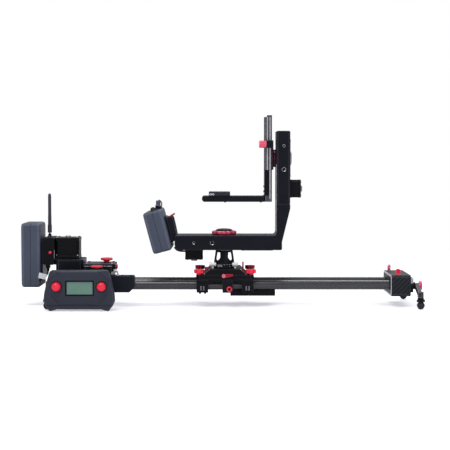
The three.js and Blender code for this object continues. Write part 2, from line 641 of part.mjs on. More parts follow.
const carriage = new THREE.Group();
slider.add(carriage);
place('carriage_frame', carriageFrame(), blackAnodised, carriage);
place('riser_cone', riserCone(), blackAnodised, carriage, [PAN_X, 0, 0]);
place('brake_lever', brakeLever(), redAnodised, carriage, [-3, -CARRIAGE.y, 73]);
place('carriage_lock_knob', lockKnob(), redAnodised, carriage, [10, -CARRIAGE.y - 3, 43]);
for (const { name, sx, sy } of corners) {
  place(`roller_${name}`, roller(), pulleyMetal, carriage, [sx * ROLLER_X, sy * TUBE_Y, ROLLER_Z]);
  place(`carriage_knob_${name}`, carriageKnob(), redAnodised, carriage,
    [sx * CARRIAGE_KNOB, sy * CARRIAGE_KNOB, CARRIAGE.z[1] + GAP]);
}

// ---------------------------------------------------------------- pan arm
// A turned frame for the leaning battery and its plate: local x is the thickness.
const leaning = new THREE.Matrix4()
  .makeRotationY(ARM_BATTERY.lean)
  .setPosition(ARM_BATTERY.x, 0, ARM_BATTERY.z);

function panArm() {
  const { x, y, z, wall } = ARM;
  const beam = prism('y', outlineXZ([
    [x[0], z[0]], [131, z[0]], [133, z[0] + 2], [133, z[0] + 19], [COLUMN.x[1], 228], [COLUMN.x[1], 239],
    [COLUMN.x[0], 239], [COLUMN.x[0], z[1] + 6], [COLUMN.x[0] - 6, z[1]], [x[0], z[1]],
  ]), [-y, y]);
  const cavity = box([-103, 100], [-y + wall, y - wall], [z[0] + wall, z[1] - wall]);
  const bore = rod('z', [z[0] - 1, z[0] + wall + 1], [PAN_X, 0, 0], 8 + GAP, 8 + GAP, 16);
  const motorHole = rod('z', [z[0] - 1, z[0] + wall + 1], [PAN_MOTOR_X, 0, 0], 7, 7, 12);
  const wheelHole = rod('z', [z[1] - wall - 1, z[1] + 1], [PAN_X, 0, 0], 5, 5, 16);
  const frontHoles = [[-73, 3.2], [-30, 4.7]].map(([hx, r]) =>
    rod('y', [-y - 1, -y + 2], [hx, 0, 148], r, r, 16));
  const plate = moved(join(
    prism('x', chamferedRect([-38, 38], [-34, 36], 6), [BATTERY.thick / 2 + GAP, 35]),
    box([30, 40], [-30, 30], [-34, -10])), leaning);
  return join(cut(beam, cavity, bore, motorHole, wheelHole, ...frontHoles), cut(plate, cavity));
}

function upperColumn() {
  const { x, y, z, wall } = COLUMN;
  const body = prism('z', chamferedRect(x, [-y, y], 3), z);
  const cavity = box([x[0] + wall, x[1] - wall], [-30, 30], [255, 378]);
  const hubBore = rod('x', [x[0] - 1, x[0] + wall + 1], [0, 0, TILT_Z], 8 + GAP, 8 + GAP, 16);
  const motorHole = rod('x', [x[1] - wall - 1, x[1] + 1], [0, 0, TILT_MOTOR_Z], 7, 7, 12);
  const dome = turned('x', [[0, x[1] - 1], [16.5, x[1] - 1], [16.5, x[1] + 1], [12, x[1] + 4], [0, x[1] + 5]],
    [0, 0, TILT_Z]);
  const frontHoles = [[374, 3.2], [319, 4.7]].map(([hz, r]) =>
    rod('y', [-y - 1, -y + 2], [137, 0, hz], r, r, 16));
  return cut(join(body, dome), cavity, hubBore, motorHole, ...frontHoles);
}

// A NEMA 17 stepper on the outside of a wall: mounting face at 0, body towards -Z.
function headMotor(length) {
  const h = NEMA17_HALF;
  const body = prism('z', chamferedRect([-h, h], [-h, h], 4), [-length, -GAP]);
  const boss = rod('z', [-length - 4, -length + 1], [0, 0, 0], 7.5, 7.5, 20);
  return cut(join(body, boss), rod('z', [-6, 1], [0, 0, 0], 3, 3, 10));
}

// The motor pulley of a head belt on its shaft; z = 0 is the motor's mounting face.
function headPinion([low, high]) {
  const r = HEAD_PINION_R;
  return turned('z', [[0, -5], [2.5, -5], [2.5, low - 1.6], [r + 2, low - 1.6], [r + 2, low - 0.5],
    [r, low - 0.5], [r, high + 0.5], [r + 2, high + 0.5], [r + 2, high + 1.6], [0, high + 1.6]],
  [0, 0, 0], SMALL_ROUND);
}

function panWheel() {
  const grip = prism('z', scalloped(29, 2.4, 12), [0, 9]);
  const cap = turned('z', [[0, 8], [20, 8], [20, 10.4], [15, 13.4], [0, 14.4]]);
  return join(grip, cap, rod('z', [-3, 1], [0, 0, 0], 4.6, 4.6, 16));
}

const arm = new THREE.Group();
slider.add(arm);
place('pan_arm', panArm(), blackAnodised, arm);
place('upper_column', upperColumn(), blackAnodised, arm);
place('pan_motor', headMotor(24), motorSteel, arm, [PAN_MOTOR_X, 0, ARM.z[0]]);
place('pan_wheel', panWheel(), redAnodised, arm, [PAN_X, 0, ARM.z[1] + GAP]);
const panBeltZ = [143.5, 151.5];
const headBeltR = [HEAD_PINION_R + GAP, HEAD_PULLEY_R + GAP];
place('pan_pinion', headPinion([panBeltZ[0] - ARM.z[0], panBeltZ[1] - ARM.z[0]]), pulleyMetal, arm,
  [PAN_MOTOR_X, 0, ARM.z[0]]);
place('pan_belt', belt('z', PAN_MOTOR_X, headBeltR[0], PAN_X, headBeltR[1], HEAD_BELT.thick, panBeltZ),
  beltRubber, arm);

const leaningFrame = new THREE.Group();
leaningFrame.position.set(ARM_BATTERY.x, 0, ARM_BATTERY.z);
leaningFrame.rotation.y = ARM_BATTERY.lean;
arm.add(leaningFrame);
place('arm_battery', battery(BATTERY.wide, BATTERY.long), batteryPlastic, leaningFrame);

const tiltMotor = new THREE.Group();
tiltMotor.position.set(COLUMN.x[1], 0, TILT_MOTOR_Z);
tiltMotor.rotation.y = -Math.PI / 2;
arm.add(tiltMotor);
place('tilt_motor', headMotor(26), motorSteel, tiltMotor);
const tiltBeltX = [132.5, 140.5];
const tiltPinion = headPinion([COLUMN.x[1] - tiltBeltX[1], COLUMN.x[1] - tiltBeltX[0]]);
place('tilt_pinion', tiltPinion, pulleyMetal, tiltMotor);
// The tilt belt stands upright: turned so that its length is along Z and its width along X.
const tiltBelt = place('tilt_belt',
  belt('z', TILT_MOTOR_Z, headBeltR[0], TILT_Z, headBeltR[1], HEAD_BELT.thick,
    [-tiltBeltX[1], -tiltBeltX[0]]),
  beltRubber, arm);
tiltBelt.rotation.y = -Math.PI / 2;

// ---------------------------------------------------------------- tilt hub and camera bracket
// Shaft, belt pulley, grip wheel and the clamp that holds the camera rail, turning as one.
function tiltHub() {
  const pulley = turned('x', [
    [0, 118], [8, 118], [8, 131], [HEAD_PULLEY_R + 2.5, 131], [HEAD_PULLEY_R + 2.5, 132],
    [HEAD_PULLEY_R, 132], [HEAD_PULLEY_R, 141], [HEAD_PULLEY_R + 2.5, 141],
    [HEAD_PULLEY_R + 2.5, 142], [0, 142],
  ]);
  const wheel = prism('x', scalloped(21.5, 1.2, 10), [113, 119.6]);
  const back = prism('x', chamferedRect([-27, 27], [-27, 42], 3), [110.4, 114]);
  const rearJaw = box([99, 111], [20.4, 27], [-27, 42]);
  const frontJaw = box([97, 112], [-37, -20.4], [24, 42]);
  const screwHole = rod('x', [96, 106], [0, CLAMP_KNOB_Y, 33], 2.8, 2.8, 10);
  return cut(join(pulley, wheel, back, rearJaw, frontJaw), screwHole);
}

function cameraBracket() {
  const r = RAIL;
  const c = CAMERA_PLATE;
  const post = prism('z', outline([
    [r.x[0], -r.y + 3], [r.x[0] + 3, -r.y], [r.x[0] + 5, -r.y], [r.x[0] + 5, -r.y + 2],
    [r.x[0] + 8, -r.y + 2], [r.x[0] + 8, -r.y], [r.x[1], -r.y], [r.x[1], r.y],
    [r.x[0] + 3, r.y], [r.x[0], r.y - 3],
  ]), r.z);
  const plate = prism('x', chamferedRect([-c.y, c.y], c.z, 3), c.x);
  const top = c.z[1];
  const clamp = prism('x', outline([
    [-30, top - 1], [30, top - 1], [30, top + 4], [24, top + 9.5], [-24, top + 9.5], [-30, top + 4],
  ]), [-38, 12]);
  const slot = moved(prism('z', roundedRect(60, 7, 3.4), [c.z[0] - 1, top - 3]),
    new THREE.Matrix4().makeTranslation(48, 0, 0));
  return cut(join(post, plate, clamp), slot);
}

function clampKnob() {
  const grip = prism('x', scalloped(8.8, 0.8, 8), [-17.6, -0.4]);
  return join(grip, rod('x', [-1, 8], [0, 0, 0], 2.5, 2.5, 10));
}

place('tilt_hub', tiltHub(), blackAnodised, arm, [0, 0, TILT_Z]);
place('camera_bracket', cameraBracket(), railMetal, arm);
place('bracket_clamp_knob', clampKnob(), redAnodised, arm, [97, CLAMP_KNOB_Y, TILT_Z + 33]);

// The dimensions above start midway between the tubes; the finished slider is centred on its own origin.
const FOOTPRINT_MIDDLE = { x: -9.1, y: -22.6 };
slider.position.set(-FOOTPRINT_MIDDLE.x, -FOOTPRINT_MIDDLE.y, 0);

export default slider;
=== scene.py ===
"""Looks of the motorised camera slider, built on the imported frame.

Shapes are made in millimetres, in the frame's own axes, and scaled to metres when a piece is placed.
"""
import json
import math

import bmesh
import bpy
from mathutils import Matrix, Vector


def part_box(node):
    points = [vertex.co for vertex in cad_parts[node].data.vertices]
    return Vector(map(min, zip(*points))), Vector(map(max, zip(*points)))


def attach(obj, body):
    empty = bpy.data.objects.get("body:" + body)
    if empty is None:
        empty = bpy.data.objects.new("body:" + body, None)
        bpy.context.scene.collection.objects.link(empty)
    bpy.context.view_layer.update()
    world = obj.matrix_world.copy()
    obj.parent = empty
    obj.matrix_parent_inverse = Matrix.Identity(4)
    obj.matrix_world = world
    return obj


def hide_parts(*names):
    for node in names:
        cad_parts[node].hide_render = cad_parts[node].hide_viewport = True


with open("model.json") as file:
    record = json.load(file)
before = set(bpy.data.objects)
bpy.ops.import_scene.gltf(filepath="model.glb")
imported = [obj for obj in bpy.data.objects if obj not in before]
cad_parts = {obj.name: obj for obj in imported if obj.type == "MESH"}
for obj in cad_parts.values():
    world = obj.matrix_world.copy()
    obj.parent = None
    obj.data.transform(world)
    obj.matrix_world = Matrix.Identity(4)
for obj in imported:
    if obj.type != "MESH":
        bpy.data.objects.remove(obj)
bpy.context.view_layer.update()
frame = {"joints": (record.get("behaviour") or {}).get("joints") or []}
MM = 0.001
CORNERS = {"front_left": (-1, -1), "front_right": (1, -1), "rear_left": (-1, 1), "rear_right": (1, 1)}


def span(node):
    """Lowest and highest corner of a CAD node, in millimetres."""
    lo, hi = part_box(node)
    return lo / MM - ORIGIN, hi / MM - ORIGIN


AXLE = {j["name"]: Vector(j["pos_m"]) / MM for j in frame["joints"] if "pos_m" in j}
# shapes start from the floor point midway between the tubes, 2 mm beside the pan axis
ORIGIN = Vector((AXLE["pan"].x + 2, AXLE["pan"].y, 0))
AXLE = {name: place - ORIGIN for name, place in AXLE.items()}

# ---------------------------------------------------------------- shapes
PLACE = { "x": lambda u, v, w: (w, u, v), "y": lambda u, v, w: (u, w, v), "z": lambda u, v, w: (u, v, w), }


def new_mesh():
    """An empty mesh whose faces carry how much pale edge colour they take: partly rubbed edges, partly a
    painted highlight.
    """
    bm = bmesh.new()
    bm.faces.layers.float.new("wear_and_highlight")
    return bm


def soften(bm, width, segments=2, over=35, edges=None):
    """Rounds the sharp edges, and marks the rounded faces for the pale edge colour: partly rubbed edges,
    partly a painted highlight.
    """
    if edges is None:
        edges = [e for e in bm.edges if len(e.link_faces) == 2 and e.calc_face_angle(0) > math.radians(over)]
    made = bmesh.ops.bevel(bm, geom=edges, offset=width, offset_type="OFFSET", segments=segments, profile=0.5,
            affect="EDGES", clamp_overlap=True)
    wear_and_highlight = bm.faces.layers.float["wear_and_highlight"]
    for face in made["faces"]:
        face[wear_and_highlight] = 1.0
    return bm


def prism(axis, outline, ends, r=0.6, segments=2, over=35, rims=False):
    """An outline pushed along an axis, with rounded edges; rims rounds the two ends only."""
    bm = new_mesh()
    at = PLACE[axis]
    low, high = ([bm.verts.new(at(u, v, w)) for u, v in outline] for w in ends)
    caps = [bm.faces.new(low), bm.faces.new(high)]
    for i, near in enumerate(low):
        j = (i + 1) % len(low)
        bm.faces.new((near, low[j], high[j], high[i]))
    bmesh.ops.recalc_face_normals(bm, faces=bm.faces)
    if r:
        edges = [e for cap in caps for e in cap.edges] if rims else None
        soften(bm, r, segments, over, edges)
    return bm


def rect(u, v, c=0.0):
    """A rectangle outline, its corners cut by c."""
    if not c:
        return [(u[0], v[0]), (u[1], v[0]), (u[1], v[1]), (u[0], v[1])]
    return [(u[0] + c, v[0]), (u[1] - c, v[0]), (u[1], v[0] + c), (u[1], v[1] - c), (u[1] - c, v[1]),
            (u[0] + c, v[1]), (u[0], v[1] - c), (u[0], v[0] + c)]


def round_rect(u, v, r, steps=6):
    """A rectangle outline with round corners."""
    points = []
    for cu, cv, start in ((u[1] - r, v[0] + r, -90), (u[1] - r, v[1] - r, 0), (u[0] + r, v[1] - r, 90),
                          (u[0] + r, v[0] + r, 180)):
        for i in range(steps + 1):
            a = math.radians(start + 90 * i / steps)
            points.append((cu + r * math.cos(a), cv + r * math.sin(a)))
    return points


def block(x, y, z, r=0.6, segments=2):
    return prism("z", rect(x, y), z, r, segments)


def filleted(profile, r, closed):
    """The profile with small arcs at its corners, as (radius, place, lobe weight, on an arc)."""
    points = [(p[0], p[1], p[2] if len(p) > 2 else 0.0) for p in profile]
    out = []
    for i, p in enumerate(points):
        if (not closed and i in (0, len(points) - 1)) or not r:
            out.append((*p, False))
            continue
        a, b = points[i - 1], points[(i + 1) % len(points)]
        to_a, to_b = Vector((a[0] - p[0], a[1] - p[1])), Vector((b[0] - p[0], b[1] - p[1]))
        if to_a.length < 1e-6 or to_b.length < 1e-6 or to_a.angle(-to_b) < math.radians(25):
            out.append((*p, False))
            continue
        reach = min(r, 0.45 * to_a.length, 0.45 * to_b.length)
        start, end = Vector(p[:2]) + to_a.normalized() * reach, Vector(p[:2]) + to_b.normalized() * reach
        for t in (0.0, 1 / 3, 2 / 3, 1.0):
            q = start * (1 - t) ** 2 + Vector(p[:2]) * 2 * t * (1 - t) + end * t * t
            out.append((q.x, q.y, p[2], t < 1))
    return out


def turned(axis, profile, centre=(0, 0, 0), steps=48, r=0.4, lobes=0, depth=0.0, closed=False, phase=0.0):
    """A turned shape. The profile lists (radius, place along the axis, share of the lobes' depth)."""
    bm = new_mesh()
    wear_and_highlight = bm.faces.layers.float["wear_and_highlight"]
    at = PLACE[axis]
    rings = []
    points = filleted(profile, r, closed)
    for radius, place, share, _ in points:
        if radius < 1e-6:
            rings.append([bm.verts.new(Vector(at(0, 0, place)) + Vector(centre))])
            continue
        ring = []
        for i in range(steps):
            a = 2 * math.pi * i / steps + phase
            reach = radius - share * depth * (0.5 - 0.5 * math.cos(lobes * (a - phase)))
            ring.append(bm.verts.new(Vector(at(reach * math.cos(a), reach * math.sin(a),
                        place)) + Vector(centre)))
        rings.append(ring)
    pairs = [(i, i + 1) for i in range(len(rings) - 1)] + ([(len(rings) - 1, 0)] if closed else [])
    for i, j in pairs:
        a, b = rings[i], rings[j]
        for k in range(steps):
            n = (k + 1) % steps
            corners = [a[k % len(a)], a[n % len(a)], b[n % len(b)], b[k % len(b)]]
            corners = list(dict.fromkeys(corners))
            if len(corners) > 2:
                # faces on the rounded corners take the pale edge colour, partly rubbed, partly a painted
                # highlight
                bm.faces.new(corners)[wear_and_highlight] = 1.0 if points[i][3] else 0.0
    for ring in (rings[0], rings[-1]):
        if not closed and len(ring) > 1:
            bm.faces.new(ring)
    bmesh.ops.recalc_face_normals(bm, faces=bm.faces)
    return bm


def rod(axis, ends, centre, radius, r=0.3, steps=32):
    return turned(axis, [(0, ends[0]), (radius, ends[0]), (radius, ends[1]), (0, ends[1])], centre, steps, r)


def hoop(axis, inner, outer, low, high, centre, steps=32, r=0.2):
    """A flat ring between two places along its axis."""
    return turned(axis, [(inner, low), (outer, low), (outer, high), (inner, high)], centre, steps, r,
                  closed=True)


def peg(axis, points, centre, steps=48, r=0.4):
    """A solid turned shape: the profile is closed to the axis at both ends."""
    return turned(axis, [(0, points[0][1]), *points, (0, points[-1][1])], centre, steps, r)


def screw(axis, at, out, radius=2.4, height=2.2):
    """A socket cap screw standing on a face at a point; out is the face's side along the axis."""
    h = height * out
    profile = [(0, 0), (radius, 0), (radius, h), (radius * 0.56, h, 1), (radius * 0.56, h * 0.35, 1),
               (0, h * 0.35)]
    return turned(axis, profile, at, 24, 0.35, 6, radius * 0.12)


def stud(axis, ends, centre, radius, pitch=1.0):
    """A threaded rod, as a row of fine ridges."""
    count = max(2, round(abs(ends[1] - ends[0]) / pitch))
    step = (ends[1] - ends[0]) / count
    profile = [(0, ends[0])]
    for i in range(count):
        profile += [(radius * 0.88, ends[0] + step * i), (radius, ends[0] + step * (i + 0.5))]
    return turned(axis, [*profile, (radius * 0.88, ends[1]), (0, ends[1])], centre, 20, 0)


def sweep(points, radius, steps=10, samples=10):
    """A round cable through the points, along a smooth curve."""
    p = [Vector(q) for q in points]
    p = [p[0] * 2 - p[1], *p, p[-1] * 2 - p[-2]]
    path = []
    for i in range(1, len(p) - 2):
        for k in range(samples):
            t = k / samples
            path.append(0.5 * (2 * p[i] + (p[i + 1] - p[i - 1]) * t
                        + (2 * p[i - 1] - 5 * p[i] + 4 * p[i + 1] - p[i + 2]) * t * t
                        + (3 * p[i] - p[i - 1] - 3 * p[i + 1] + p[i + 2]) * t ** 3))
    path.append(p[-2])
    bm = new_mesh()
    side = (path[1] - path[0]).orthogonal().normalized()
    rings = []
    for i, point in enumerate(path):
        along = (path[min(i + 1, len(path) - 1)] - path[max(i - 1, 0)]).normalized()
        side = (side - along * side.dot(along)).normalized()
        up = along.cross(side)
        rings.append([bm.verts.new(point + radius * (side * math.cos(a) + up * math.sin(a)))
                     for a in (2 * math.pi * k / steps for k in range(steps))])
    for a, b in zip(rings, rings[1:]):
        for k in range(steps):
            n = (k + 1) % steps
            bm.faces.new((a[k], a[n], b[n], b[k]))
    bm.faces.new(rings[0])
    bm.faces.new(rings[-1])
    bmesh.ops.recalc_face_normals(bm, faces=bm.faces)
    return bm


def toothed_belt(axis, u0, r0, u1, r1, thick, width, pitch=3.0, tooth=0.55):
    """A belt round two wheels, teeth inside. Its length lies along the first direction of the outline."""
    lean = math.asin((r0 - r1) / (u1 - u0))
    path = []
    for centre, radius, start, turn in ((u0, r0, math.pi / 2 - lean, math.pi + 2 * lean),
                                        (u1, r1, 1.5 * math.pi + lean, math.pi - 2 * lean)):
        for i in range(25):
            a = start + turn * i / 24
            path.append((Vector((centre + radius * math.cos(a), radius * math.sin(a))),
                        Vector((math.cos(a), math.sin(a)))))
    path.append(path[0])
    lengths = [0.0]
    for (p, _), (q, _) in zip(path, path[1:]):
        lengths.append(lengths[-1] + (q - p).length)
    teeth = round(lengths[-1] / pitch)
    bm = new_mesh()
    at = PLACE[axis]
    loops, seg = [], 0
    for i in range(teeth * 4):
        want = lengths[-1] * i / (teeth * 4)
        while lengths[seg + 1] < want:
            seg += 1
        t = (want - lengths[seg]) / max(lengths[seg + 1] - lengths[seg], 1e-9)
        p = path[seg][0].lerp(path[seg + 1][0], t)
        out = path[seg][1].lerp(path[seg + 1][1], t).normalized()
        inner, outer = p + out * (0.0 if i % 4 < 2 else tooth), p + out * thick
        loops.append([bm.verts.new(at(q.x, q.y, w)) for q, w in ((inner, width[0]), (outer, width[0]),
                     (outer, width[1]), (inner, width[1]))])
    for a, b in zip(loops, loops[1:] + loops[:1]):
        for k in range(4):
            n = (k + 1) % 4
            bm.faces.new((a[k], a[n], b[n], b[k]))
    bmesh.ops.recalc_face_normals(bm, faces=bm.faces)
    return bm


def merged(*parts):
    """Several shapes as one mesh."""
    whole = new_mesh()
    for part in parts:
        data = bpy.data.meshes.new("part")
        part.to_mesh(data)
        part.free()
        whole.from_mesh(data)
        bpy.data.meshes.remove(data)
    return whole


def carve(body, *tools):
    """The body with the tools cut out of it."""
    objects = []
    for bm in (body, merged(*tools)):
        data = bpy.data.meshes.new("work")
        bm.to_mesh(data)
        bm.free()
        objects.append(bpy.data.objects.new("work", data))
        bpy.context.scene.collection.objects.link(objects[-1])
    target, tool = objects
    modifier = target.modifiers.new("carve", "BOOLEAN")
    modifier.object, modifier.operation, modifier.solver = tool, "DIFFERENCE", "EXACT"
    modifier.use_self = len(tools) > 1
    depsgraph = bpy.context.evaluated_depsgraph_get()
    data = bpy.data.meshes.new_from_object(target.evaluated_get(depsgraph))
    bm = bmesh.new()
    bm.from_mesh(data)
    if not bm.faces.layers.float.get("wear_and_highlight"):
        bm.faces.layers.float.new("wear_and_highlight")
    for ob in objects:
        used = ob.data
        bpy.data.objects.remove(ob)
        bpy.data.meshes.remove(used)
    bpy.data.meshes.remove(data)
    return bm


def moved(bm, matrix):
    bm.transform(matrix)
    return bm


def piece(name, shape, paint, body, slot, *stands_for, origin=(0, 0, 0), sharp=50):
    """Places a shape, or a list of them, as one piece riding on a CAD body."""
    bm = merged(*shape) if isinstance(shape, (list, tuple)) else shape
    bm.transform(Matrix.Scale(MM, 4) @ Matrix.Translation(-Vector(origin)))
    data = bpy.data.meshes.new(name)
    bm.to_mesh(data)
    bm.free()
    data.shade_smooth()
    data.set_sharp_from_angle(angle=math.radians(sharp))
    data.materials.append(paint)
    ob = bpy.data.objects.new(name, data)
    ob.location = (Vector(origin) + ORIGIN) * MM
    bpy.context.scene.collection.objects.link(ob)
    ob.modifiers.new("normals", "WEIGHTED_NORMAL").keep_sharp = True
    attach(ob, body)
    if stands_for:
        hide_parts(*stands_for)
    return ob


USUAL_SLOT = {"screw steel": "pulley_metal", "turned aluminium": "pulley_metal",
              "cable skin": "black_plastic", "black plastic": "black_plastic", "motor cap": "motor_black",
              "motor laminations": "motor_black", "controller plastic": "controller_plastic",
              "dark red anodised and painted shade": "red_anodised"}


def rider(body):
    """A shorter call of piece, for everything that rides on one body."""
    def put(name, shape, paint, slot=None, *stands_for, **more):
        usual = USUAL_SLOT.get(paint.name, "black_anodised")
        return piece(name, shape, paint, body, slot or usual, *stands_for, **more)
    return put


on_rails, on_carriage, on_arm = rider("rail_frame"), rider("carriage"), rider("pan_arm")
on_head, on_bracket, on_hand = rider("tilt_head"), rider("camera_bracket"), rider("controller")


def screws(put, name, axis, points, out, radius=2.4, height=2.2, paint=None, slot="pulley_metal"):
    """Socket cap screws at several points, as one piece."""
    return put(name, [screw(axis, point, out, radius, height) for point in points], paint or steel, slot)


# ---------------------------------------------------------------- materials
class Tree:
    """Short ways to add nodes to a material."""

    def __init__(self, material):
        material.use_nodes = True
        self.nodes, self.links = material.node_tree.nodes, material.node_tree.links
        self.nodes.clear()
        self.place = self.add("ShaderNodeTexCoord").outputs["Object"]

    def add(self, kind, inputs=(), **settings):
        made = self.nodes.new(kind)
        for key, value in settings.items():
            setattr(made, key, value)
        for key, value in dict(inputs).items():
            socket = made.inputs[key]
            if isinstance(value, bpy.types.NodeSocket):
                self.links.new(value, socket)
            else:
                socket.default_value = value
        return made

    def math(self, operation, a, b=0.0, clamp=False):
        return self.add("ShaderNodeMath", {0: a, 1: b}, operation=operation, use_clamp=clamp).outputs[0]

    def mix(self, share, a, b):
        made = self.add("ShaderNodeMix", {0: share}, data_type="RGBA")
        for index, value in ((6, a), (7, b)):
            if isinstance(value, bpy.types.NodeSocket):
                self.links.new(value, made.inputs[index])
            else:
                made.inputs[index].default_value = value
        return made.outputs[2]

    def noise(self, scale, detail=2.0, stretch=(1, 1, 1)):
        where = self.place
        if stretch != (1, 1, 1):
            where = self.add("ShaderNodeMapping", {"Vector": where, "Scale": stretch}).outputs[0]
        return self.add("ShaderNodeTexNoise", {"Vector": where, "Scale": scale, "Detail": detail}).outputs[0]

    def ramp(self, value, low, high):
        return self.add("ShaderNodeMapRange", {0: value, 1: low, 2: high, 3: 0.0, 4: 1.0},
                        clamp=True).outputs[0]


def shade(colour, by):
    return (*[min(1.0, c * by) for c in colour], 1.0)


def surface(name, colour, roughness, metallic=0.0, mottle=0.15, blotch=30, grain=900, bump=0.12, worn_lit_edge_colour=None,
            coat=0.0, stretch=(1, 1, 1), pattern=None, specular=0.5, depth=0.0001):
    """A procedural finish: blotches of colour, fine grain in roughness and relief, and pale edges, partly
    rubbed, partly a painted highlight.
    """
    material = bpy.data.materials.new(name)
    t = Tree(material)
    tone = t.ramp(t.noise(blotch, 3), 0.3, 0.7)
    base = t.mix(tone, shade(colour, 1 - mottle), shade(colour, 1 + mottle))
    fine = t.noise(grain, 3, stretch)
    relief = fine
    rough = t.math("ADD", t.math("MULTIPLY", t.math("SUBTRACT", fine, 0.5), 0.35), roughness)
    rough = t.math("ADD", rough, t.math("MULTIPLY", t.math("SUBTRACT", tone, 0.5), 0.08), clamp=True)
    if pattern:
        base, relief, rough = pattern(t, base, relief, rough)
    # pale edges: partly rubbed paint, partly a painted highlight where edges would catch the light
    if worn_lit_edge_colour:
        edge = t.add("ShaderNodeAttribute", attribute_name="wear_and_highlight", attribute_type="GEOMETRY").outputs["Fac"]
        patchy = t.ramp(t.noise(160, 4), 0.25, 0.75)
        share = t.math("MULTIPLY", edge, t.math("ADD", t.math("MULTIPLY", patchy, 0.5), 0.35), clamp=True)
        base = t.mix(share, base, (*worn_lit_edge_colour, 1.0))
    normal = t.add("ShaderNodeBump", {"Strength": bump, "Distance": depth, "Height": relief}).outputs[0]
    shader = t.add("ShaderNodeBsdfPrincipled", { "Base Color": base, "Roughness": rough, "Metallic": metallic,
                   "Normal": normal, "Coat Weight": coat, "Coat Roughness": 0.12,
                   "Specular IOR Level": specular})
    t.add("ShaderNodeOutputMaterial", {0: shader.outputs[0]})
    return material


def twill(t, u, v, base, relief, rough, contrast=1.9, cell=2.6 * MM, height=0.8):
    """Two over, two under carbon cloth on the directions u and v."""
    a, b = t.math("DIVIDE", u, cell), t.math("DIVIDE", v, cell)
    step = t.math("MODULO", t.math("ADD", t.math("SUBTRACT", t.math("FLOOR", a), t.math("FLOOR", b)), 4000),
                  4)
    over = t.math("LESS_THAN", step, 1.5)
    crowns = []
    for side in (a, b):
        off = t.math("SUBTRACT", t.math("MULTIPLY", t.math("FRACT", side), 2), 1)
        crowns.append(t.math("SUBTRACT", 1, t.math("MULTIPLY", off, off)))
    crown = t.math("ADD", t.math("MULTIPLY", crowns[0], over), t.math("MULTIPLY", crowns[1],
                   t.math("SUBTRACT", 1, over)))
    light = t.add("ShaderNodeMix", {0: 1.0}, data_type="RGBA", blend_type="MULTIPLY")
    t.links.new(base, light.inputs[6])
    light.inputs[7].default_value = (contrast, contrast, contrast * 1.06, 1)
    base = t.mix(over, base, light.outputs[2])
    relief = t.math("ADD", t.math("MULTIPLY", crown, height), t.math("MULTIPLY", relief, 0.15))
    return base, relief, t.math("ADD", rough, t.math("MULTIPLY", over, 0.06))


def round_twill(t, base, relief, rough):
    """Twill wrapped round a tube that lies along X, with the piece's origin on its axis."""
    xyz = t.add("ShaderNodeSeparateXYZ", {0: t.place})
    turn = t.math("ARCTAN2", xyz.outputs[2], xyz.outputs[1])
    return twill(t, xyz.outputs[0], t.math("MULTIPLY", turn, 11 * MM), base, relief, rough, 1.2)


def flat_twill(t, base, relief, rough):
    """Twill on the flat faces of a block."""
    xyz = t.add("ShaderNodeSeparateXYZ", {0: t.place})
    facing = t.add("ShaderNodeSeparateXYZ", {0: t.add("ShaderNodeTexCoord").outputs["Normal"]})
    on_x = t.math("GREATER_THAN", t.math("ABSOLUTE", facing.outputs[0]), 0.7)
    on_z = t.math("GREATER_THAN", t.math("ABSOLUTE", facing.outputs[2]), 0.7)

    def pick(share, a, b):
        return t.add("ShaderNodeMix", {0: share, 2: a, 3: b}).outputs[0]

    u = pick(on_x, xyz.outputs[0], xyz.outputs[1])
    v = pick(on_z, xyz.outputs[2], xyz.outputs[1])
    base, relief, rough = twill(t, u, v, base, relief, rough, 1.25)
    turn = t.math("FRACT", t.math("DIVIDE", t.math("ADD", t.math("SUBTRACT", u, v), 1), 11 * MM))
    thread = t.math("LESS_THAN", turn, 0.16)
    return t.mix(thread, base, (0.024, 0.029, 0.039, 1)), relief, rough


def pixel_grid(t, base, relief, rough):
    """The dot grid of a plain, switched-off liquid crystal display."""
    xyz = t.add("ShaderNodeSeparateXYZ", {0: t.place})
    lines = None
    for axis in (0, 2):
        cell = t.math("FRACT", t.math("DIVIDE", xyz.outputs[axis], 0.9 * MM))
        line = t.math("LESS_THAN", cell, 0.16)
        lines = line if lines is None else t.math("MAXIMUM", lines, line)
    return t.mix(t.math("MULTIPLY", lines, 0.35), base, (0.05, 0.11, 0.085, 1)), relief, rough


def laminations(t, base, relief, rough):
    """The stacked steel sheets of a motor body: fine lines across the shaft."""
    xyz = t.add("ShaderNodeSeparateXYZ", {0: t.place})
    wave = t.math("SINE", t.math("MULTIPLY", xyz.outputs[2], 2 * math.pi / (1.0 * MM)))
    return base, t.math("ADD", relief, t.math("MULTIPLY", wave, 1.2)), rough


# EDGE is the pale edge colour of the dark finishes: partly rubbed edges, partly a painted highlight
EDGE = (0.055, 0.056, 0.07)
carbon_tube = surface("carbon tube", (0.015, 0.015, 0.02), 0.3, 0.0, 0.2, 18, 1400, 0.25, coat=0.5,
                      pattern=round_twill, specular=0.6)
carbon_block = surface("carbon block", (0.005, 0.006, 0.0095), 0.36, 0.0, 0.25, 20, 1400, 0.3, EDGE, 0.06,
        pattern=flat_twill, specular=0.2)
anodised = surface("satin black anodised", (0.0055, 0.006, 0.0115), 0.4, 0.2, 0.18, 22, 2200, 0.1, EDGE,
                   specular=0.17)
anodised_blue = surface("blue black anodised", (0.008, 0.0095, 0.018), 0.42, 0.2, 0.15, 18, 2200, 0.1, EDGE,
        specular=0.18)
hard_black = surface("hard black", (0.0032, 0.0034, 0.0055), 0.45, 0.1, 0.25, 40, 1800, 0.12,
                     (0.03, 0.03, 0.04), specular=0.14)
red = surface("red anodised", (0.66, 0.003, 0.028), 0.26, 0.62, 0.14, 60, 1500, 0.06, (0.95, 0.2, 0.28), 0.25)
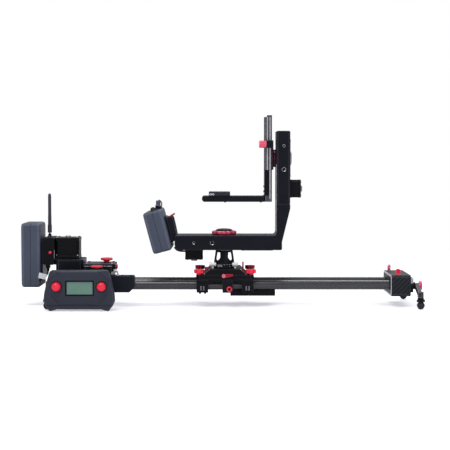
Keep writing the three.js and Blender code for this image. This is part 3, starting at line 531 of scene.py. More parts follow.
# a darker red; on the rear mushroom knobs and three leg knobs it is painted shade on the same red
dark_red_and_shade = surface("dark red anodised and painted shade", (0.32, 0.003, 0.024), 0.3, 0.65, 0.2, 60, 1500, 0.06,
                   (0.5, 0.05, 0.1), 0.1)
# the red lightened and made pinker: a painted highlight, used on the lit pan wheel, one leg knob and the rear
# wing screw
highlit_red = surface("red anodised with painted highlight", (0.74, 0.02, 0.11), 0.3, 0.45, 0.1, 60, 1500, 0.06,
                   (0.95, 0.35, 0.42), 0.2)
red_plastic = surface("red knob plastic", (0.84, 0.005, 0.04), 0.42, 0.0, 0.08, 50, 1200, 0.08,
                      (0.85, 0.08, 0.12), 0.15)
battery_plastic = surface("battery plastic", (0.044, 0.056, 0.093), 0.5, 0.0, 0.1, 14, 1600, 0.3,
        (0.13, 0.15, 0.2), stretch=(1, 1, 0.25))
controller_plastic = surface("controller plastic", (0.017, 0.022, 0.038), 0.55, 0.0, 0.12, 25, 1500, 0.35,
        (0.07, 0.075, 0.1), specular=0.4)
black_plastic = surface("black plastic", (0.0038, 0.004, 0.0065), 0.5, 0.0, 0.2, 30, 1700, 0.2,
        (0.03, 0.03, 0.04), specular=0.16)
rubber = surface("rubber", (0.012, 0.012, 0.014), 0.75, 0.0, 0.25, 60, 1300, 0.35, (0.05, 0.05, 0.056))
belt_rubber = surface("belt rubber", (0.008, 0.008, 0.009), 0.85, 0.0, 0.25, 40, 1000, 0.3,
                      (0.03, 0.03, 0.03))
motor_steel = surface("motor laminations", (0.0045, 0.0045, 0.006), 0.5, 0.2, 0.2, 30, 900, 0.2,
                      pattern=laminations, specular=0.16, depth=0.0002)
motor_cap = surface("motor cap", (0.0032, 0.0034, 0.005), 0.42, 0.2, 0.2, 30, 1500, 0.12, (0.03, 0.03, 0.035),
                    specular=0.16)
gunmetal = surface("gunmetal extrusion", (0.045, 0.046, 0.06), 0.34, 0.6, 0.12, 20, 500, 0.1,
                   (0.6, 0.6, 0.66), stretch=(40, 40, 1))
# a pale grey; on the column's left face it is a painted highlight
pale_side_strip = surface("pale side strip", (0.34, 0.34, 0.37), 0.5, 0.2, 0.06, 30, 1500, 0.1, (0.5, 0.5, 0.52))
whip_rubber = surface("antenna sleeve", (0.028, 0.03, 0.042), 0.55, 0.0, 0.15, 60, 1300, 0.25,
                      (0.07, 0.07, 0.09))
bar_grey = surface("dark bar paint", (0.12, 0.12, 0.15), 0.5, 0.2, 0.1, 40, 1500, 0.1, (0.3, 0.3, 0.34))
leg_grey = surface("grey black leg", (0.03, 0.03, 0.036), 0.4, 0.3, 0.15, 30, 1800, 0.1, (0.2, 0.2, 0.22),
                   specular=0.3)
pink_red = surface("pink red anodised", (0.8, 0.085, 0.15), 0.3, 0.35, 0.1, 60, 1500, 0.06, (0.95, 0.4, 0.5),
                   0.2)
# the red of the hand wheels darkened: painted shade for the tilt wheel, seen edge-on in shadow
shaded_red = surface("red anodised in painted shade", (0.12, 0.001, 0.013), 0.34, 0.5, 0.2, 60, 1500, 0.06,
                   (0.25, 0.02, 0.05))
white_metal = surface("bright level knob", (0.9, 0.9, 0.93), 0.4, 0.2, 0.08, 60, 1500, 0.08, (0.9, 0.9, 0.92))
# a pale lavender colour that is a painted highlight, for the lit rim of the right block's inner face
lit_rim_highlight = surface("painted highlight rim", (0.52, 0.51, 0.6), 0.4, 0.4, 0.08, 40, 1500, 0.1, (0.6, 0.6, 0.68))
grey_metal = surface("grey anodised", (0.33, 0.33, 0.37), 0.4, 0.7, 0.1, 40, 1500, 0.1, (0.7, 0.7, 0.72))
steel = surface("screw steel", (0.6, 0.6, 0.62), 0.28, 1.0, 0.1, 80, 1800, 0.06, (0.85, 0.85, 0.85))
pulley_metal = surface("turned aluminium", (0.5, 0.51, 0.53), 0.3, 0.95, 0.08, 40, 1200, 0.1, (0.8, 0.8, 0.8))
brass = surface("plug metal", (0.5, 0.38, 0.16), 0.3, 1.0, 0.1, 60, 1500, 0.06, (0.8, 0.7, 0.4))
screen = surface("display", (0.114, 0.235, 0.18), 0.3, 0.0, 0.05, 30, 1500, 0.03, coat=0.15,
                 pattern=pixel_grid)
cable_skin = surface("cable skin", (0.008, 0.008, 0.009), 0.5, 0.0, 0.2, 60, 900, 0.15)
tag_paper = surface("cable tag", (0.68, 0.7, 0.74), 0.6, 0.0, 0.06, 60, 1400, 0.15, (0.5, 0.5, 0.55))
white_paint = surface("white marks", (0.75, 0.76, 0.78), 0.5, 0.0, 0.05, 60, 1400, 0.1)


# ---------------------------------------------------------------- shared details
KNOB_STEM, KNOB_HOLE = 2.9, 3.3     # radius of a knob's screw, and of the hole it turns in
REAR_WING_TURN = 65                 # the rear thumb screw is parked at another angle, in degrees


def grip_knob(r, low, high, centre, lobes=8, depth=1.1, axis="z", crown=0.0):
    """The scalloped head of a hand knob, between two places along its axis."""
    side = 1 if high > low else -1
    profile = [(0, low), (r - 0.8, low, 1), (r, low + side, 1), (r, high - side, 1), (r - 1, high, 0.8),
               (r * 0.62, high + crown * side, 0), (r * 0.55, high + (crown - 0.7) * side, 0),
               (0, high + (crown - 0.7) * side)]
    return turned(axis, profile, centre, lobes * 12, 0.5, lobes, depth)


def flared_knob(centre, r, neck, height):
    """A hand knob that flares up from a narrow neck."""
    cx, cy, cz = centre
    throat = peg("z", [(neck, 0), (neck, height * 0.2), (r * 0.86, height * 0.46)], centre, 48, 0.4)
    return [throat, grip_knob(r, cz + height * 0.42, cz + height, (cx, cy, 0))]


def plus(a, reach):
    return (a - reach, a + reach)


# ---------------------------------------------------------------- rails
for side in ("front", "rear"):
    lo, hi = span(f"tube_{side}")
    y, z, r = (lo.y + hi.y) / 2, (lo.z + hi.z) / 2, (hi.z - lo.z) / 2
    on_rails(f"rail_{side}", hoop("x", r - 1.5, r, lo.x, hi.x, (0, y, z), 64, 0.4), carbon_tube,
             "carbon_fibre", f"tube_{side}", origin=(0, y, z))
RAIL_Y, RAIL_Z, RAIL_R = hi.y - r, z, r
DRIVE, IDLER = AXLE["drive_pulley_spin"], AXLE["idler_pulley_spin"]
BELT_LO, BELT_HI = span("slide_belt")
TUBE_GAP = 0.15


def tube_holes(ends):
    return [rod("x", ends, (0, side * RAIL_Y, RAIL_Z), RAIL_R + TUBE_GAP, 0, 64) for side in (-1, 1)]


# left block and the collar that grips the tubes
lo, hi = span("left_end_block")
collar_x, block_x = (-263.8, hi.x), (lo.x, -264.2)
body = prism("x", rect((-62, 62), (30, hi.z), 5), block_x, 1.0)
well = block((DRIVE.x - 16, -200), (-18, 18), (42, 58), 0)
shaft_hole = rod("z", (57, 90), (DRIVE.x, 0, 0), 6, 0)
on_rails("left_block", carve(body, well, shaft_hole, *tube_holes((-291, -263))), anodised, "black_anodised",
         "left_end_block", origin=(lo.x, 0, lo.z))
outline = [(collar_x[0], lo.z + 4), (hi.x - 12, lo.z + 4), (hi.x, lo.z + 16), (hi.x, 70), (hi.x - 3, 73),
           (collar_x[0], 73)]
body = prism("y", outline, (-65, -31), 1.0)
slit = block((-268, -200), plus(-RAIL_Y, 0.7), (28, 42), 0)
on_rails("tube_collar", carve(body, *tube_holes((-268, -200)), slit), anodised_blue, origin=(hi.x, 0, lo.z))
pinch = [screw("z", (x, -58, 73), 1, 2.4, 1.6) for x in (-238, -219)]
on_rails("collar_screws", pinch, hard_black)
for side, label in ((-1, "front"), (1, "rear")):
    cover = prism("x", rect(plus(side * 30, 22), (36, 76), 3), (lo.x - 0.6, lo.x + 1), 0.4)
    on_rails(f"left_cover_{label}", cover, anodised_blue)
screws(on_rails, "left_cover_screws", "x", [(lo.x - 0.6, y, z) for y in (-47, -13, 13, 47) for z in (40, 72)],
       -1, 1.9, 1.2)

# right block, wrapped in carbon cloth, with its end plate
lo, hi = span("right_end_block")
face_x = hi.x - 6
body = prism("x", rect((lo.y, hi.y), (lo.z, hi.z), 4), (lo.x, face_x), 1.2, 3)
well = block((lo.x - 1, face_x - 8), (-26, 26), (42, 58), 0)
WINGS = {side: AXLE[f"end_thumbscrew_{side}_turn"] for side in ("front", "rear")}
wells = [rod("z", (66, 90), (p.x, p.y, 0), KNOB_HOLE, 0) for p in WINGS.values()]
on_rails("right_block", carve(body, well, *tube_holes((lo.x - 1, 410.6)), *wells), carbon_block,
         "carbon_fibre", "right_end_block", origin=(face_x, lo.y, lo.z))
on_rails("idler_axle", rod("z", (41.5, 58.5), (IDLER.x, 0, 0), 3, 0.2), steel)
for label, heights, outer, paint in (("plate", (54.8, 68.5), hi.x, grey_metal),
                                     ("pad", (35, 54.5), hi.x - 0.4, hard_black)):
    leg_bore = rod("x", (face_x, hi.x + 1), (0, -62, RAIL_Z), 8.8, 0, 48)
    sheet = prism("x", rect((-71.6, 34), heights, 2), (face_x + 0.1, outer), 0.6)
    on_rails(f"right_end_{label}", carve(sheet, leg_bore), paint)
screws(on_rails, "right_end_plate_screws", "x", [(hi.x - 0.8, y, z) for y in (-26, 26) for z in (44, 62)], 1,
       2.2, 1.2)
on_rails("right_inner_cover", prism("x", rect((lo.y + 4, hi.y - 4), (lo.z + 4, hi.z - 4), 3),
         (lo.x - 0.3, lo.x + 1), 0.2), hard_black)
# a pale lavender rim round the right block's inner face: a painted highlight where its edges catch the light
hollow = prism("x", rect((lo.y + 4.6, hi.y - 4.6), (lo.z + 4.6, hi.z - 4.6), 3), (lo.x - 3, lo.x + 3), 0)
edge = prism("x", rect((lo.y + 0.6, hi.y - 0.6), (lo.z + 0.6, hi.z - 0.6), 4), (lo.x - 1, lo.x + 1), 0.3)
on_rails("right_inner_rim", carve(edge, hollow), lit_rim_highlight)
for side, point in WINGS.items():
    seat = hoop("z", 3.3, 6.2, hi.z - 0.4, hi.z + 0.25, (point.x, point.y, 0))
    on_rails(f"wing_washer_{side}", seat, steel)
    foot = hi.z + 0.4
    wing = [(-2.8, 1.6), (2.8, 1.6), (5.9, 3.8), (6.5, 5.8), (5.5, 7.8), (6.5, 9.8), (5.4, 12), (3.2, 12.2),
            (1.8, 13.8), (-1.8, 13.8), (-3.2, 12.2), (-5.4, 12), (-6.5, 9.8), (-5.5, 7.8), (-6.5, 5.8),
            (-5.9, 3.8)]
    shape = [prism("y", [(u, v + foot) for u, v in wing], (-2.5, 2.5), 0.9, 3),
             peg("z", [(4.2, foot - 0.1), (4.2, foot + 1.4), (3.2, foot + 3)], (0, 0, 0)),
             rod("z", (foot - 5, foot + 2), (0, 0, 0), KNOB_STEM, 0.3)]
    turn = Matrix.Rotation(math.radians(REAR_WING_TURN) if side == "rear" else 0, 4, "Z")
    place = Matrix.Translation((point.x, point.y, 0)) @ turn
    # the rear wing screw takes the lightened red as a painted highlight
    paint = red if side == "front" else highlit_red
    piece(f"wing_screw_{side}", moved(merged(*shape), place), paint, f"end_thumbscrew_{side}", "red_anodised",
          f"end_thumbscrew_{side}", origin=point)

# tripod saddle under the tubes
lo, hi = span("tripod_saddle")
middle = (lo.x + hi.x) / 2
ribs = []
for i in range(7):
    for side in (-1, 1):
        ends = sorted((side * (hi.y + 1), side * (hi.y - 2.5)))
        ribs.append(rod("y", ends, (lo.x + 14 + 13 * i, 0, hi.z + 2), 4.5, 0, 24))
hub = rod("z", (lo.z - 1, lo.z + 7), (middle, 0, 0), 5, 0, 32)
on_rails("saddle", carve(prism("x", rect((lo.y, hi.y), (lo.z, hi.z), 2), (lo.x, hi.x), 0.6), *ribs, hub),
         hard_black, "black_anodised", "tripod_saddle", origin=(lo.x, lo.y, lo.z))
thread = []
for i in range(7):
    thread += [(4.95, lo.z + 0.4 + i * 0.9), (4.2, lo.z + 0.85 + i * 0.9)]
on_rails("saddle_thread", turned("z", [*thread, (4.95, lo.z + 6.8)], (middle, 0, 0), 32, 0, closed=True),
         steel)
bolts = [screw("z", (x, side * (RAIL_Y - 17), hi.z), 1, 2.6, 2.4) for x in (lo.x + 12,
         hi.x - 12) for side in (-1, 1)]
on_rails("saddle_bolts", bolts, steel)
for side, label in ((-1, "front"), (1, "rear")):
    pads = [block(plus(x, 6), plus(side * RAIL_Y, 5), (hi.z - 0.2, hi.z + 0.3), 0.1) for x in (lo.x + 10,
            hi.x - 10)]
    on_rails(f"saddle_pads_{label}", pads, rubber, "rubber")

# rail belt and its pulleys
radius = (BELT_HI.y - BELT_LO.y) / 2 - 1.5
belt = toothed_belt("z", DRIVE.x, radius, IDLER.x, radius, 1.5, (BELT_LO.z, BELT_HI.z))
on_rails("rail_belt", belt, belt_rubber, "belt_rubber", "slide_belt", origin=(0, 0, RAIL_Z))


def rim(r, low, high, flange=2.5, lip=1.2):
    """A toothed pulley's rim between two flanges, as a profile."""
    return [(r + flange, low - lip), (r + flange, low), (r, low, 1), (r, high, 1), (r + flange, high),
            (r + flange, high + lip)]


edge = rim(10, BELT_LO.z - 0.4, BELT_HI.z + 0.4, 3)
top = span("drive_pulley")[1].z
shaft = [(4, edge[-1][1]), (4, top), (0, top)]
piece("rail_drive_pulley", turned("z", [(0, edge[0][1]), *edge, *shaft], (DRIVE.x, 0, 0), 160, 0.25, 20, 0.7),
      pulley_metal, "drive_pulley", "pulley_metal", "drive_pulley", origin=DRIVE)
bore = [(3.35, edge[0][1]), *edge, (3.35, edge[-1][1])]
piece("rail_idler_pulley", turned("z", bore, (IDLER.x, 0, 0), 160, 0.25, 20, 0.7, closed=True), pulley_metal,
      "idler_pulley", "pulley_metal", "idler_pulley", origin=IDLER)

# ---------------------------------------------------------------- legs
for corner, (sx, sy) in CORNERS.items():
    pivot = AXLE[f"leg_{corner}_fold"]
    foot = AXLE[f"foot_{corner}_turn"]
    lo, hi = span(f"leg_{corner}")
    root, tip = (lo.x if sx > 0 else hi.x), pivot.x + 4.5 * sx
    arm_x = sorted((tip, tip - 9 * sx))
    reach, drop = abs(foot.y - pivot.y), 16
    outline = [(-4, 7), (-7.5, 5.6), (-9, 3), (-reach - 5, -drop + 6), (-reach - 7, -drop + 3),
               (-reach - 7, -drop - 6), (-reach - 5, -drop - 8), (-reach + 7, -drop - 8),
               (-reach + 7, -drop - 3), (3, -7.5)]
    outline = [(pivot.y - u * sy, pivot.z + v) for u, v in outline]
    arm = prism("x", outline, arm_x, 1.0)
    centre = (0, pivot.y, pivot.z)
    bore = rod("x", sorted((tip - 6 * sx, tip + sx)), centre, KNOB_HOLE, 0)
    boss = rod("z", (26, 40), (foot.x, foot.y, 0), 6.4, 0.6)
    well = rod("z", (20, 39), (foot.x, foot.y, 0), KNOB_HOLE, 0)
    shaped = carve(arm, bore, rod("z", (20, 38.2), (foot.x, foot.y, 0), KNOB_HOLE, 0))
    piece(f"leg_arm_{corner}", shaped, leg_grey, f"leg_{corner}", "black_anodised", f"leg_{corner}",
          origin=pivot)
    piece(f"leg_boss_{corner}", carve(boss, well), leg_grey, f"leg_{corner}", "black_anodised",
          origin=(foot.x, foot.y, 30))
    shoulder = sorted((root, tip - 8.9 * sx))
    if shoulder[1] - shoulder[0] > 0.5:
        hub = rod("x", shoulder, centre, 8.4, 0.4, 40)
    else:
        hub = hoop("x", 6, 8.4, *shoulder, centre, 40, 0.1)
    piece(f"leg_hub_{corner}", hub, hard_black, f"leg_{corner}", "black_anodised", origin=pivot)
    ring = hoop("x", 3.4, 8.2, tip, tip + 0.3 * sx, centre, 40, 0.1)
    piece(f"leg_washer_{corner}", ring, steel, f"leg_{corner}", "pulley_metal")

    near = tip + 0.4 * sx
    grip = grip_knob(11, near, near + 6.6 * sx, centre, 8, 1.0, "x")
    stem = rod("x", sorted((near - 5.8 * sx, near + sx)), centre, KNOB_STEM, 0.3)
    # the front right knob takes the paler red as a painted highlight, the other three the darker red as
    # painted shade
    knob_red_by_light = highlit_red if sx > 0 and sy < 0 else dark_red_and_shade
    piece(f"leg_grip_{corner}", [grip, stem], knob_red_by_light, f"leg_knob_{corner}", "red_anodised",
          f"leg_knob_{corner}", origin=pivot)
    cap = turned("x", [(0, near + 5.7 * sx), (5.4, near + 5.7 * sx), (5.4, near + 6.5 * sx),
                 (0, near + 6.8 * sx)], centre, 32, 0.3)
    piece(f"leg_cap_{corner}", cap, black_plastic, f"leg_knob_{corner}", "black_plastic")

    ball = [(0, 0), (2.2, 0)]
    ball += [(9 * math.cos(a), 9 + 9 * math.sin(a)) for a in (math.radians(d) for d in range(-76, 69, 8))]
    ball += [(4.4, 16.8), (0, 16.8)]
    at = (foot.x, foot.y, 0)
    piece(f"foot_ball_{corner}", turned("z", ball, at, 48, 0), rubber, f"foot_{corner}", "rubber",
          f"foot_{corner}", origin=(foot.x, foot.y, 9))
    hexagon = [(foot.x + 9.8 * math.cos(math.radians(60 * i)), foot.y + 9.8 * math.sin(math.radians(60 * i)))
               for i in range(6)]
    piece(f"foot_nut_{corner}", [hoop("z", 3.4, 7.4, 22.5, 25.6, at, 32, 0.3),
          prism("z", hexagon, (16.8, 22.6), 0.7), rod("z", (16.3, 17), at, 6.6, 0.1)], hard_black,
          f"foot_{corner}", "rail_metal")
    piece(f"foot_screw_{corner}", stud("z", (22.2, 36), at, 3.0, 0.9), steel, f"foot_{corner}", "rail_metal")

# ---------------------------------------------------------------- drive end
lo, hi = span("drive_housing")
tower_x, plate_x, plate_top = (lo.x, -331.2), (-330.8, hi.x), 100
tower = prism("z", rect(tower_x, (-44, 44), 6), (lo.z, hi.z), 1.0)
on_rails("housing_tower", carve(tower, rod("z", (lo.z - 1, hi.z + 1), (DRIVE.x, 0, 0), 6, 0)), anodised_blue,
         "black_anodised", "drive_housing", origin=(lo.x, -44, lo.z))
on_rails("housing_front_cover", block((tower_x[0] + 7, tower_x[1] - 7), (-44.4, -43), (lo.z + 3, hi.z - 3),
         0.4), anodised)
screws(on_rails, "housing_cover_screws", "y", [(x, -44.2, z) for x in (lo.x + 11, -343) for z in (lo.z + 6.5,
       hi.z - 6.5)], -1, 1.6, 0.9, hard_black, "black_anodised")
KNOBS = {side: AXLE[f"housing_knob_{side}_turn"] for side in ("rear", "front")}
holes = [rod("z", (lo.z + 3, 120), (p.x, p.y, 0), KNOB_HOLE, 0) for p in KNOBS.values()]
plate = prism("z", rect(plate_x, (-60, 20), 8), (lo.z, plate_top), 1.0)
on_rails("housing_plate", carve(plate, holes[0]), anodised, origin=(lo.x, -60, lo.z))
tab = prism("z", [(-311, -59.8), (-311, -82), (-303, lo.y), (-289, lo.y), (-281, -82), (-281, -59.8)],
            (lo.z, 89.5), 0.8)
on_rails("housing_tab", carve(tab, holes[1]), anodised, origin=(-311, -60, lo.z))
screws(on_rails, "plate_bolts", "z", [(x, y, plate_top) for x in (-322, -264) for y in (-50, 11)], 1, 2.4,
       2.2)
on_rails("plate_rib", block((-327, -262), (-60.6, -59), (lo.z + 12, lo.z + 13.4), 0.3), grey_metal)
for side, point in KNOBS.items():
    k_lo, k_hi = span(f"housing_knob_{side}")
    low, foot, reach = k_lo.z, k_lo.z + 4, (k_hi.x - k_lo.x) / 2
    height = k_hi.z - foot
    shape = flared_knob((point.x, point.y, foot), reach, 6, height)
    shape.append(rod("z", (low, foot + 1), (point.x, point.y, 0), KNOB_STEM, 0.3))
    piece(f"plate_knob_{side}", shape, red_plastic, f"housing_knob_{side}", "red_anodised",
          f"housing_knob_{side}", origin=(point.x, point.y, foot))
    cap = turned("z", [(0, foot + height - 1), (5.8, foot + height - 1), (5.8, foot + height - 0.2),
                 (0, foot + height + 0.1)], (point.x, point.y, 0), 32, 0.3)
    piece(f"plate_knob_cap_{side}", cap, dark_red_and_shade, f"housing_knob_{side}", "red_anodised")

# small clamp screw and lever on the plate's right edge
on_rails("clamp_screw", [grip_knob(5.2, hi.x + 0.2, hi.x + 6, (0, -44, 93), 8, 0.7, "x"),
         rod("x", (hi.x - 2, hi.x + 1), (0, -44, 93), 2.4, 0.2)], dark_red_and_shade)
bar = [(hi.x - 3, 86.5), (hi.x + 4, 87.2), (hi.x + 8.5, 84), (hi.x + 10, 78), (hi.x + 8.6, 72),
       (hi.x + 5, 73.4), (hi.x + 5.6, 78), (hi.x + 4.4, 81), (hi.x - 3, 82.2)]
on_rails("clamp_lever", prism("y", bar, (-66.5, -61.5), 1.2, 3), steel, "black_anodised")
on_rails("clamp_lever_pin", peg("y", [(2.6, -68), (2.6, -60.4)], (hi.x - 0.5, 0, 84.4), 24, 0.4), steel)

# stepper motor on the tower
lo, hi = span("slide_motor")
half, cx = (hi.x - lo.x) / 2, (hi.x + lo.x) / 2
top = hi.z - 4


def motor_square(reach, cut):
    return rect((cx - reach, cx + reach), (-reach, reach), cut)


hole = rod("z", (lo.z - 1, lo.z + 7), (cx, 0, 0), 5, 0)
flange = prism("z", motor_square(half, 3), (lo.z, lo.z + 7.4), 0.8)
on_rails("motor_flange", carve(flange, hole), motor_cap, "motor_black", "slide_motor", origin=(cx, 0, lo.z))
grooves = [rod("z", (lo.z + 8, top - 7), (cx + sx * (half - 0.2), sy * (half - 0.2), 0), 4.6, 0,
           24) for sx in (-1, 1) for sy in (-1, 1)]
stack = prism("z", motor_square(half - 0.4, 6), (lo.z + 7.6, top - 7.4), 0.3)
on_rails("motor_stack", carve(stack, *grooves), motor_steel, origin=(cx, 0, lo.z))
on_rails("motor_top_cap", prism("z", motor_square(half, 3), (top - 7.2, top), 0.8), motor_cap,
         origin=(cx, 0, top))
on_rails("motor_boss", peg("z", [(6.5, top - 0.4), (6.5, hi.z - 1.6), (5.4, hi.z), (2.6, hi.z),
         (2.4, hi.z - 1)], (cx, 0, 0), 40, 0.4), grey_metal, "motor_black")
heads = [screw("z", (cx + sx * (half - 4.2), sy * (half - 4.2), lo.z + 7.4), 1, 2.3, 2.6) for sx in (-1,
         1) for sy in (-1, 1)]
heads += [screw("z", (cx + sx * (half - 5), sy * (half - 5), top), 1, 2.1, 1.6) for sx in (-1,
          1) for sy in (-1, 1)]
on_rails("motor_screws", heads, steel)
on_rails("motor_socket", block((cx - 8, cx + 8), (half - 0.5, half + 5), (lo.z + 10, lo.z + 17), 0.6),
         black_plastic)

# driver box on the side of the tower, with the plate for the battery
lo, hi = span("driver_box")
vx, case_x, foot_x = (lo.x, lo.x + 5), (lo.x + 4, hi.x - 4), (hi.x - 5, hi.x)
case_top = 160
b_lo, b_hi = span("driver_button")
button = ((b_lo.x + b_hi.x) / 2, (b_lo.z + b_hi.z) / 2, (b_hi.x - b_lo.x) / 2)
case = prism("y", rect(case_x, (96, case_top), 2.5), (-39, 39), 0.9)


def button_well():
    return rod("y", (-45, -35), (button[0], 0, button[1]), button[2] + 0.3, 0)


on_rails("driver_case", carve(case, button_well()), black_plastic, "black_plastic", "driver_box",
         origin=(case_x[0], -39, 96))
front = prism("y", rect((case_x[0] + 1.2, case_x[1] - 1.2), (98, case_top - 2), 2), (-40, -39.1), 0.3)
on_rails("driver_front_cover", carve(front, button_well()), hard_black, "black_plastic",
         origin=(case_x[0], -40, 98))
on_rails("driver_rear_cover", prism("y", rect((case_x[0] + 1.2, case_x[1] - 1.2), (98, case_top - 2), 2),
         (39.1, 40), 0.3), hard_black, "black_plastic")
on_rails("driver_screws", [screw("y", (x, s * 40, z), s, 1.3, 0.8) for s in (-1, 1) for x in (case_x[0] + 4,
         case_x[1] - 4) for z in (101.5, case_top - 5.5)], hard_black, "pulley_metal")
dome = [(0, b_lo.y), (2.0, b_lo.y + 0.2), (3.2, b_lo.y + 0.9), (button[2], b_lo.y + 2.4), (button[2], b_hi.y),
        (0, b_hi.y)]
piece("button_cap", turned("y", dome, (button[0], 0, button[1]), 40, 0.4), red_plastic, "driver_button",
      "red_anodised", "driver_button", origin=(button[0], b_lo.y, button[1]))
on_rails("driver_foot", block(foot_x, (-30, 30), (96, 107), 0.6), anodised)
screws(on_rails, "driver_foot_bolts", "z", [(hi.x - 2.4, y, 107) for y in (-22, 22)], 1, 1.8, 1.6)
on_rails("driver_edge_strip", block((case_x[1] - 0.2, case_x[1] + 0.9), (-38, -34), (110, 131), 0.3),
         pale_side_strip, "rail_metal")
vents = [block((case_x[1] - 1, case_x[1] + 0.5), (y, y + 2), (122, 150), 0.4) for y in range(-26, 27, 6)]
on_rails("driver_fins", vents, hard_black, "black_plastic")
on_rails("battery_mount", prism("x", rect((-36, 36), (62, 158), 6), (vx[0], vx[0] + 3.9), 0.8), anodised_blue,
         origin=(vx[0], -36, 62))
guides = [prism("x", [(s * 12, 74), (s * 20, 74), (s * 26, 146), (s * 18, 146)], (vx[0] - 0.1, vx[0] + 1),
          0.3) for s in (-1, 1)]
on_rails("battery_mount_guides", guides, grey_metal)
fold = AXLE["antenna_fold"]
post = peg("z", [(4, case_top - 1), (4, case_top + 7)], (fold.x, 0, 0), 32, 0.4)
slot = block(plus(fold.x, 1.6), (-6, 6), (case_top + 0.6, case_top + 9), 0)
on_rails("antenna_post", carve(post, slot), hard_black, "black_plastic")
whip = turned("z", [(0, 4.6), (4.4, 4.6), (4.9, 5.4), (4.9, 22), (4.1, 24), (4.05, 46), (3.8, 46.6),
              (3.75, 91), (3.2, 94.6), (2.0, 96.8), (0, 97.6)], fold, 32, 0.3)
piece("antenna_whip", whip, whip_rubber, "antenna", "black_plastic", "antenna", origin=fold)
knuckle = prism("x", [(-3.2, 5.6), (-3.2, 0), (-2.4, -1.9), (0, -2.7), (2.4, -1.9), (3.2, 0), (3.2, 5.6)],
                (-1.3, 1.3), 0.3)
piece("antenna_knuckle", moved(knuckle, Matrix.Translation(fold)), hard_black, "antenna", "black_plastic")
piece("antenna_pin", rod("x", (fold.x - 1.25, fold.x + 1.25), (0, fold.y, fold.z), 1.2, 0.2, 16), steel,
      "antenna", "pulley_metal")

# plugs and cables below the driver box
on_rails("driver_plug", [block((case_x[0] + 6, case_x[0] + 16), (-30, -20), (88, 96.5), 0.8),
         peg("z", [(2.6, 80), (3.4, 88.4)], (case_x[0] + 11, -25, 0), 24, 0.3)], black_plastic)
on_rails("power_cable", sweep([(case_x[0] + 11, -25, 81), (case_x[0] + 9, -29, 74), (case_x[0] + 4, -36, 68),
         (case_x[0] - 2, -43, 64), (case_x[0] - 8, -48, 60)], 2.2), cable_skin)
tag = moved(block((-9, 9), (-0.5, 0.5), (-6.5, 6.5), 0.3), Matrix.Translation((-425, -50,
            71)) @ Matrix.Rotation(math.radians(12), 4, "Y"))
on_rails("cable_tag", tag, tag_paper, "black_plastic")
on_rails("motor_cable", sweep([(cx, half + 4.6, 122), (cx - 4, half + 12, 120), (cx - 22, half + 14, 118),
         (case_x[1] - 3, 41, 122), (case_x[1] - 8, 39, 126)], 1.9), cable_skin)


# ---------------------------------------------------------------- battery bricks
def brick(name, node, wide, long, thick, place):
    """A brick battery: two shells with a seam, a raised face panel, a foot wedge and its contacts."""
    half, w, l = thick / 2, wide / 2, long / 2

    def layer(x, inset, corner):
        return [(x, y, z) for y, z in round_rect((-w + inset, w - inset), (-l + inset, l - inset), corner, 8)]

    def shell(sections):
        bm = new_mesh()
        rings = [[bm.verts.new(p) for p in layer(*s)] for s in sections]
        for a, b in zip(rings, rings[1:]):
            for i, v in enumerate(a):
                j = (i + 1) % len(a)
                bm.faces.new((v, a[j], b[j], b[i]))
        bm.faces.new(rings[0])
        bm.faces.new(rings[-1])
        bmesh.ops.recalc_face_normals(bm, faces=bm.faces)
        wear_and_highlight = bm.faces.layers.float["wear_and_highlight"]
        for face in bm.faces:
            # the sloped faces round the brick's edges take the pale edge colour, partly rubbed, partly a
            # painted highlight
            if 0.2 < abs(face.normal.x) < 0.98:
                face[wear_and_highlight] = 0.6
        return bm

    def halves(s):
        face = half if s > 0 else half - 0.6  # leaves room for the raised panel
        return [(s * 0.35, 0.5, 7.6), (s * 0.9, 0.05, 8), (s * (face - 6.5), 0, 8),
                (s * (face - 4.2), 0.5, 8), (s * (face - 2.4), 1.3, 8), (s * (face - 1), 2.4, 8),
                (s * (face - 0.2), 4, 8), (s * face, 5.4, 8)]

    def put(label, shape, paint, slot, *stands, origin=(0, 0, 0)):
        return piece(f"{name}_{label}", moved(shape if not isinstance(shape, list) else merged(*shape),
                     place), paint, node, slot, *stands, origin=place @ Vector(origin), sharp=32)

    put("outer_shell", shell(halves(-1)), battery_plastic, "battery_plastic", node)
    put("inner_shell", shell(halves(1)), battery_plastic, "battery_plastic")
    seam = [(-0.4, 0.9, 7.4), (0.4, 0.9, 7.4)]
    put("seam", shell(seam), hard_black, "battery_plastic")
    panel = prism("x", round_rect((-w + 14, w - 14), (-l + 14, l - 14), 5), (-half + 0.25, -half + 1.2), 0.25,
                  over=60)
    put("panel", panel, battery_plastic, "battery_plastic")
    dots = [block((-half + 0.02, -half + 0.4), plus(-12 + 6 * i, 1.4), plus(-l + 21, 1.0),
            0.15) for i in range(5)]
    put("charge_lights", dots, white_paint, "battery_plastic")
    wedge = prism("x", [(-16, -l + 20), (16, -l + 20), (21, -l + 46), (-21, -l + 46)],
                  (half - 0.6, half + 0.15), 0.1)
    put("wedge", wedge, hard_black, "battery_plastic")
    pins = [block((half, half + 0.22), plus(-9 + 6 * i, 1.5), (-l + 26, -l + 36), 0.05) for i in range(4)]
    put("contacts", pins, brass, "pulley_metal")


lo, hi = span("left_battery")
brick("left_brick", "left_battery", hi.y - lo.y, hi.z - lo.z, hi.x - lo.x, Matrix.Translation((lo + hi) / 2))

# ---------------------------------------------------------------- hand controller
lo, hi = span("controller_front_shell")
b_lo, b_hi = span("controller_back_shell")
hx, half, top = (lo.x + hi.x) / 2, (hi.x - lo.x) / 2, hi.z


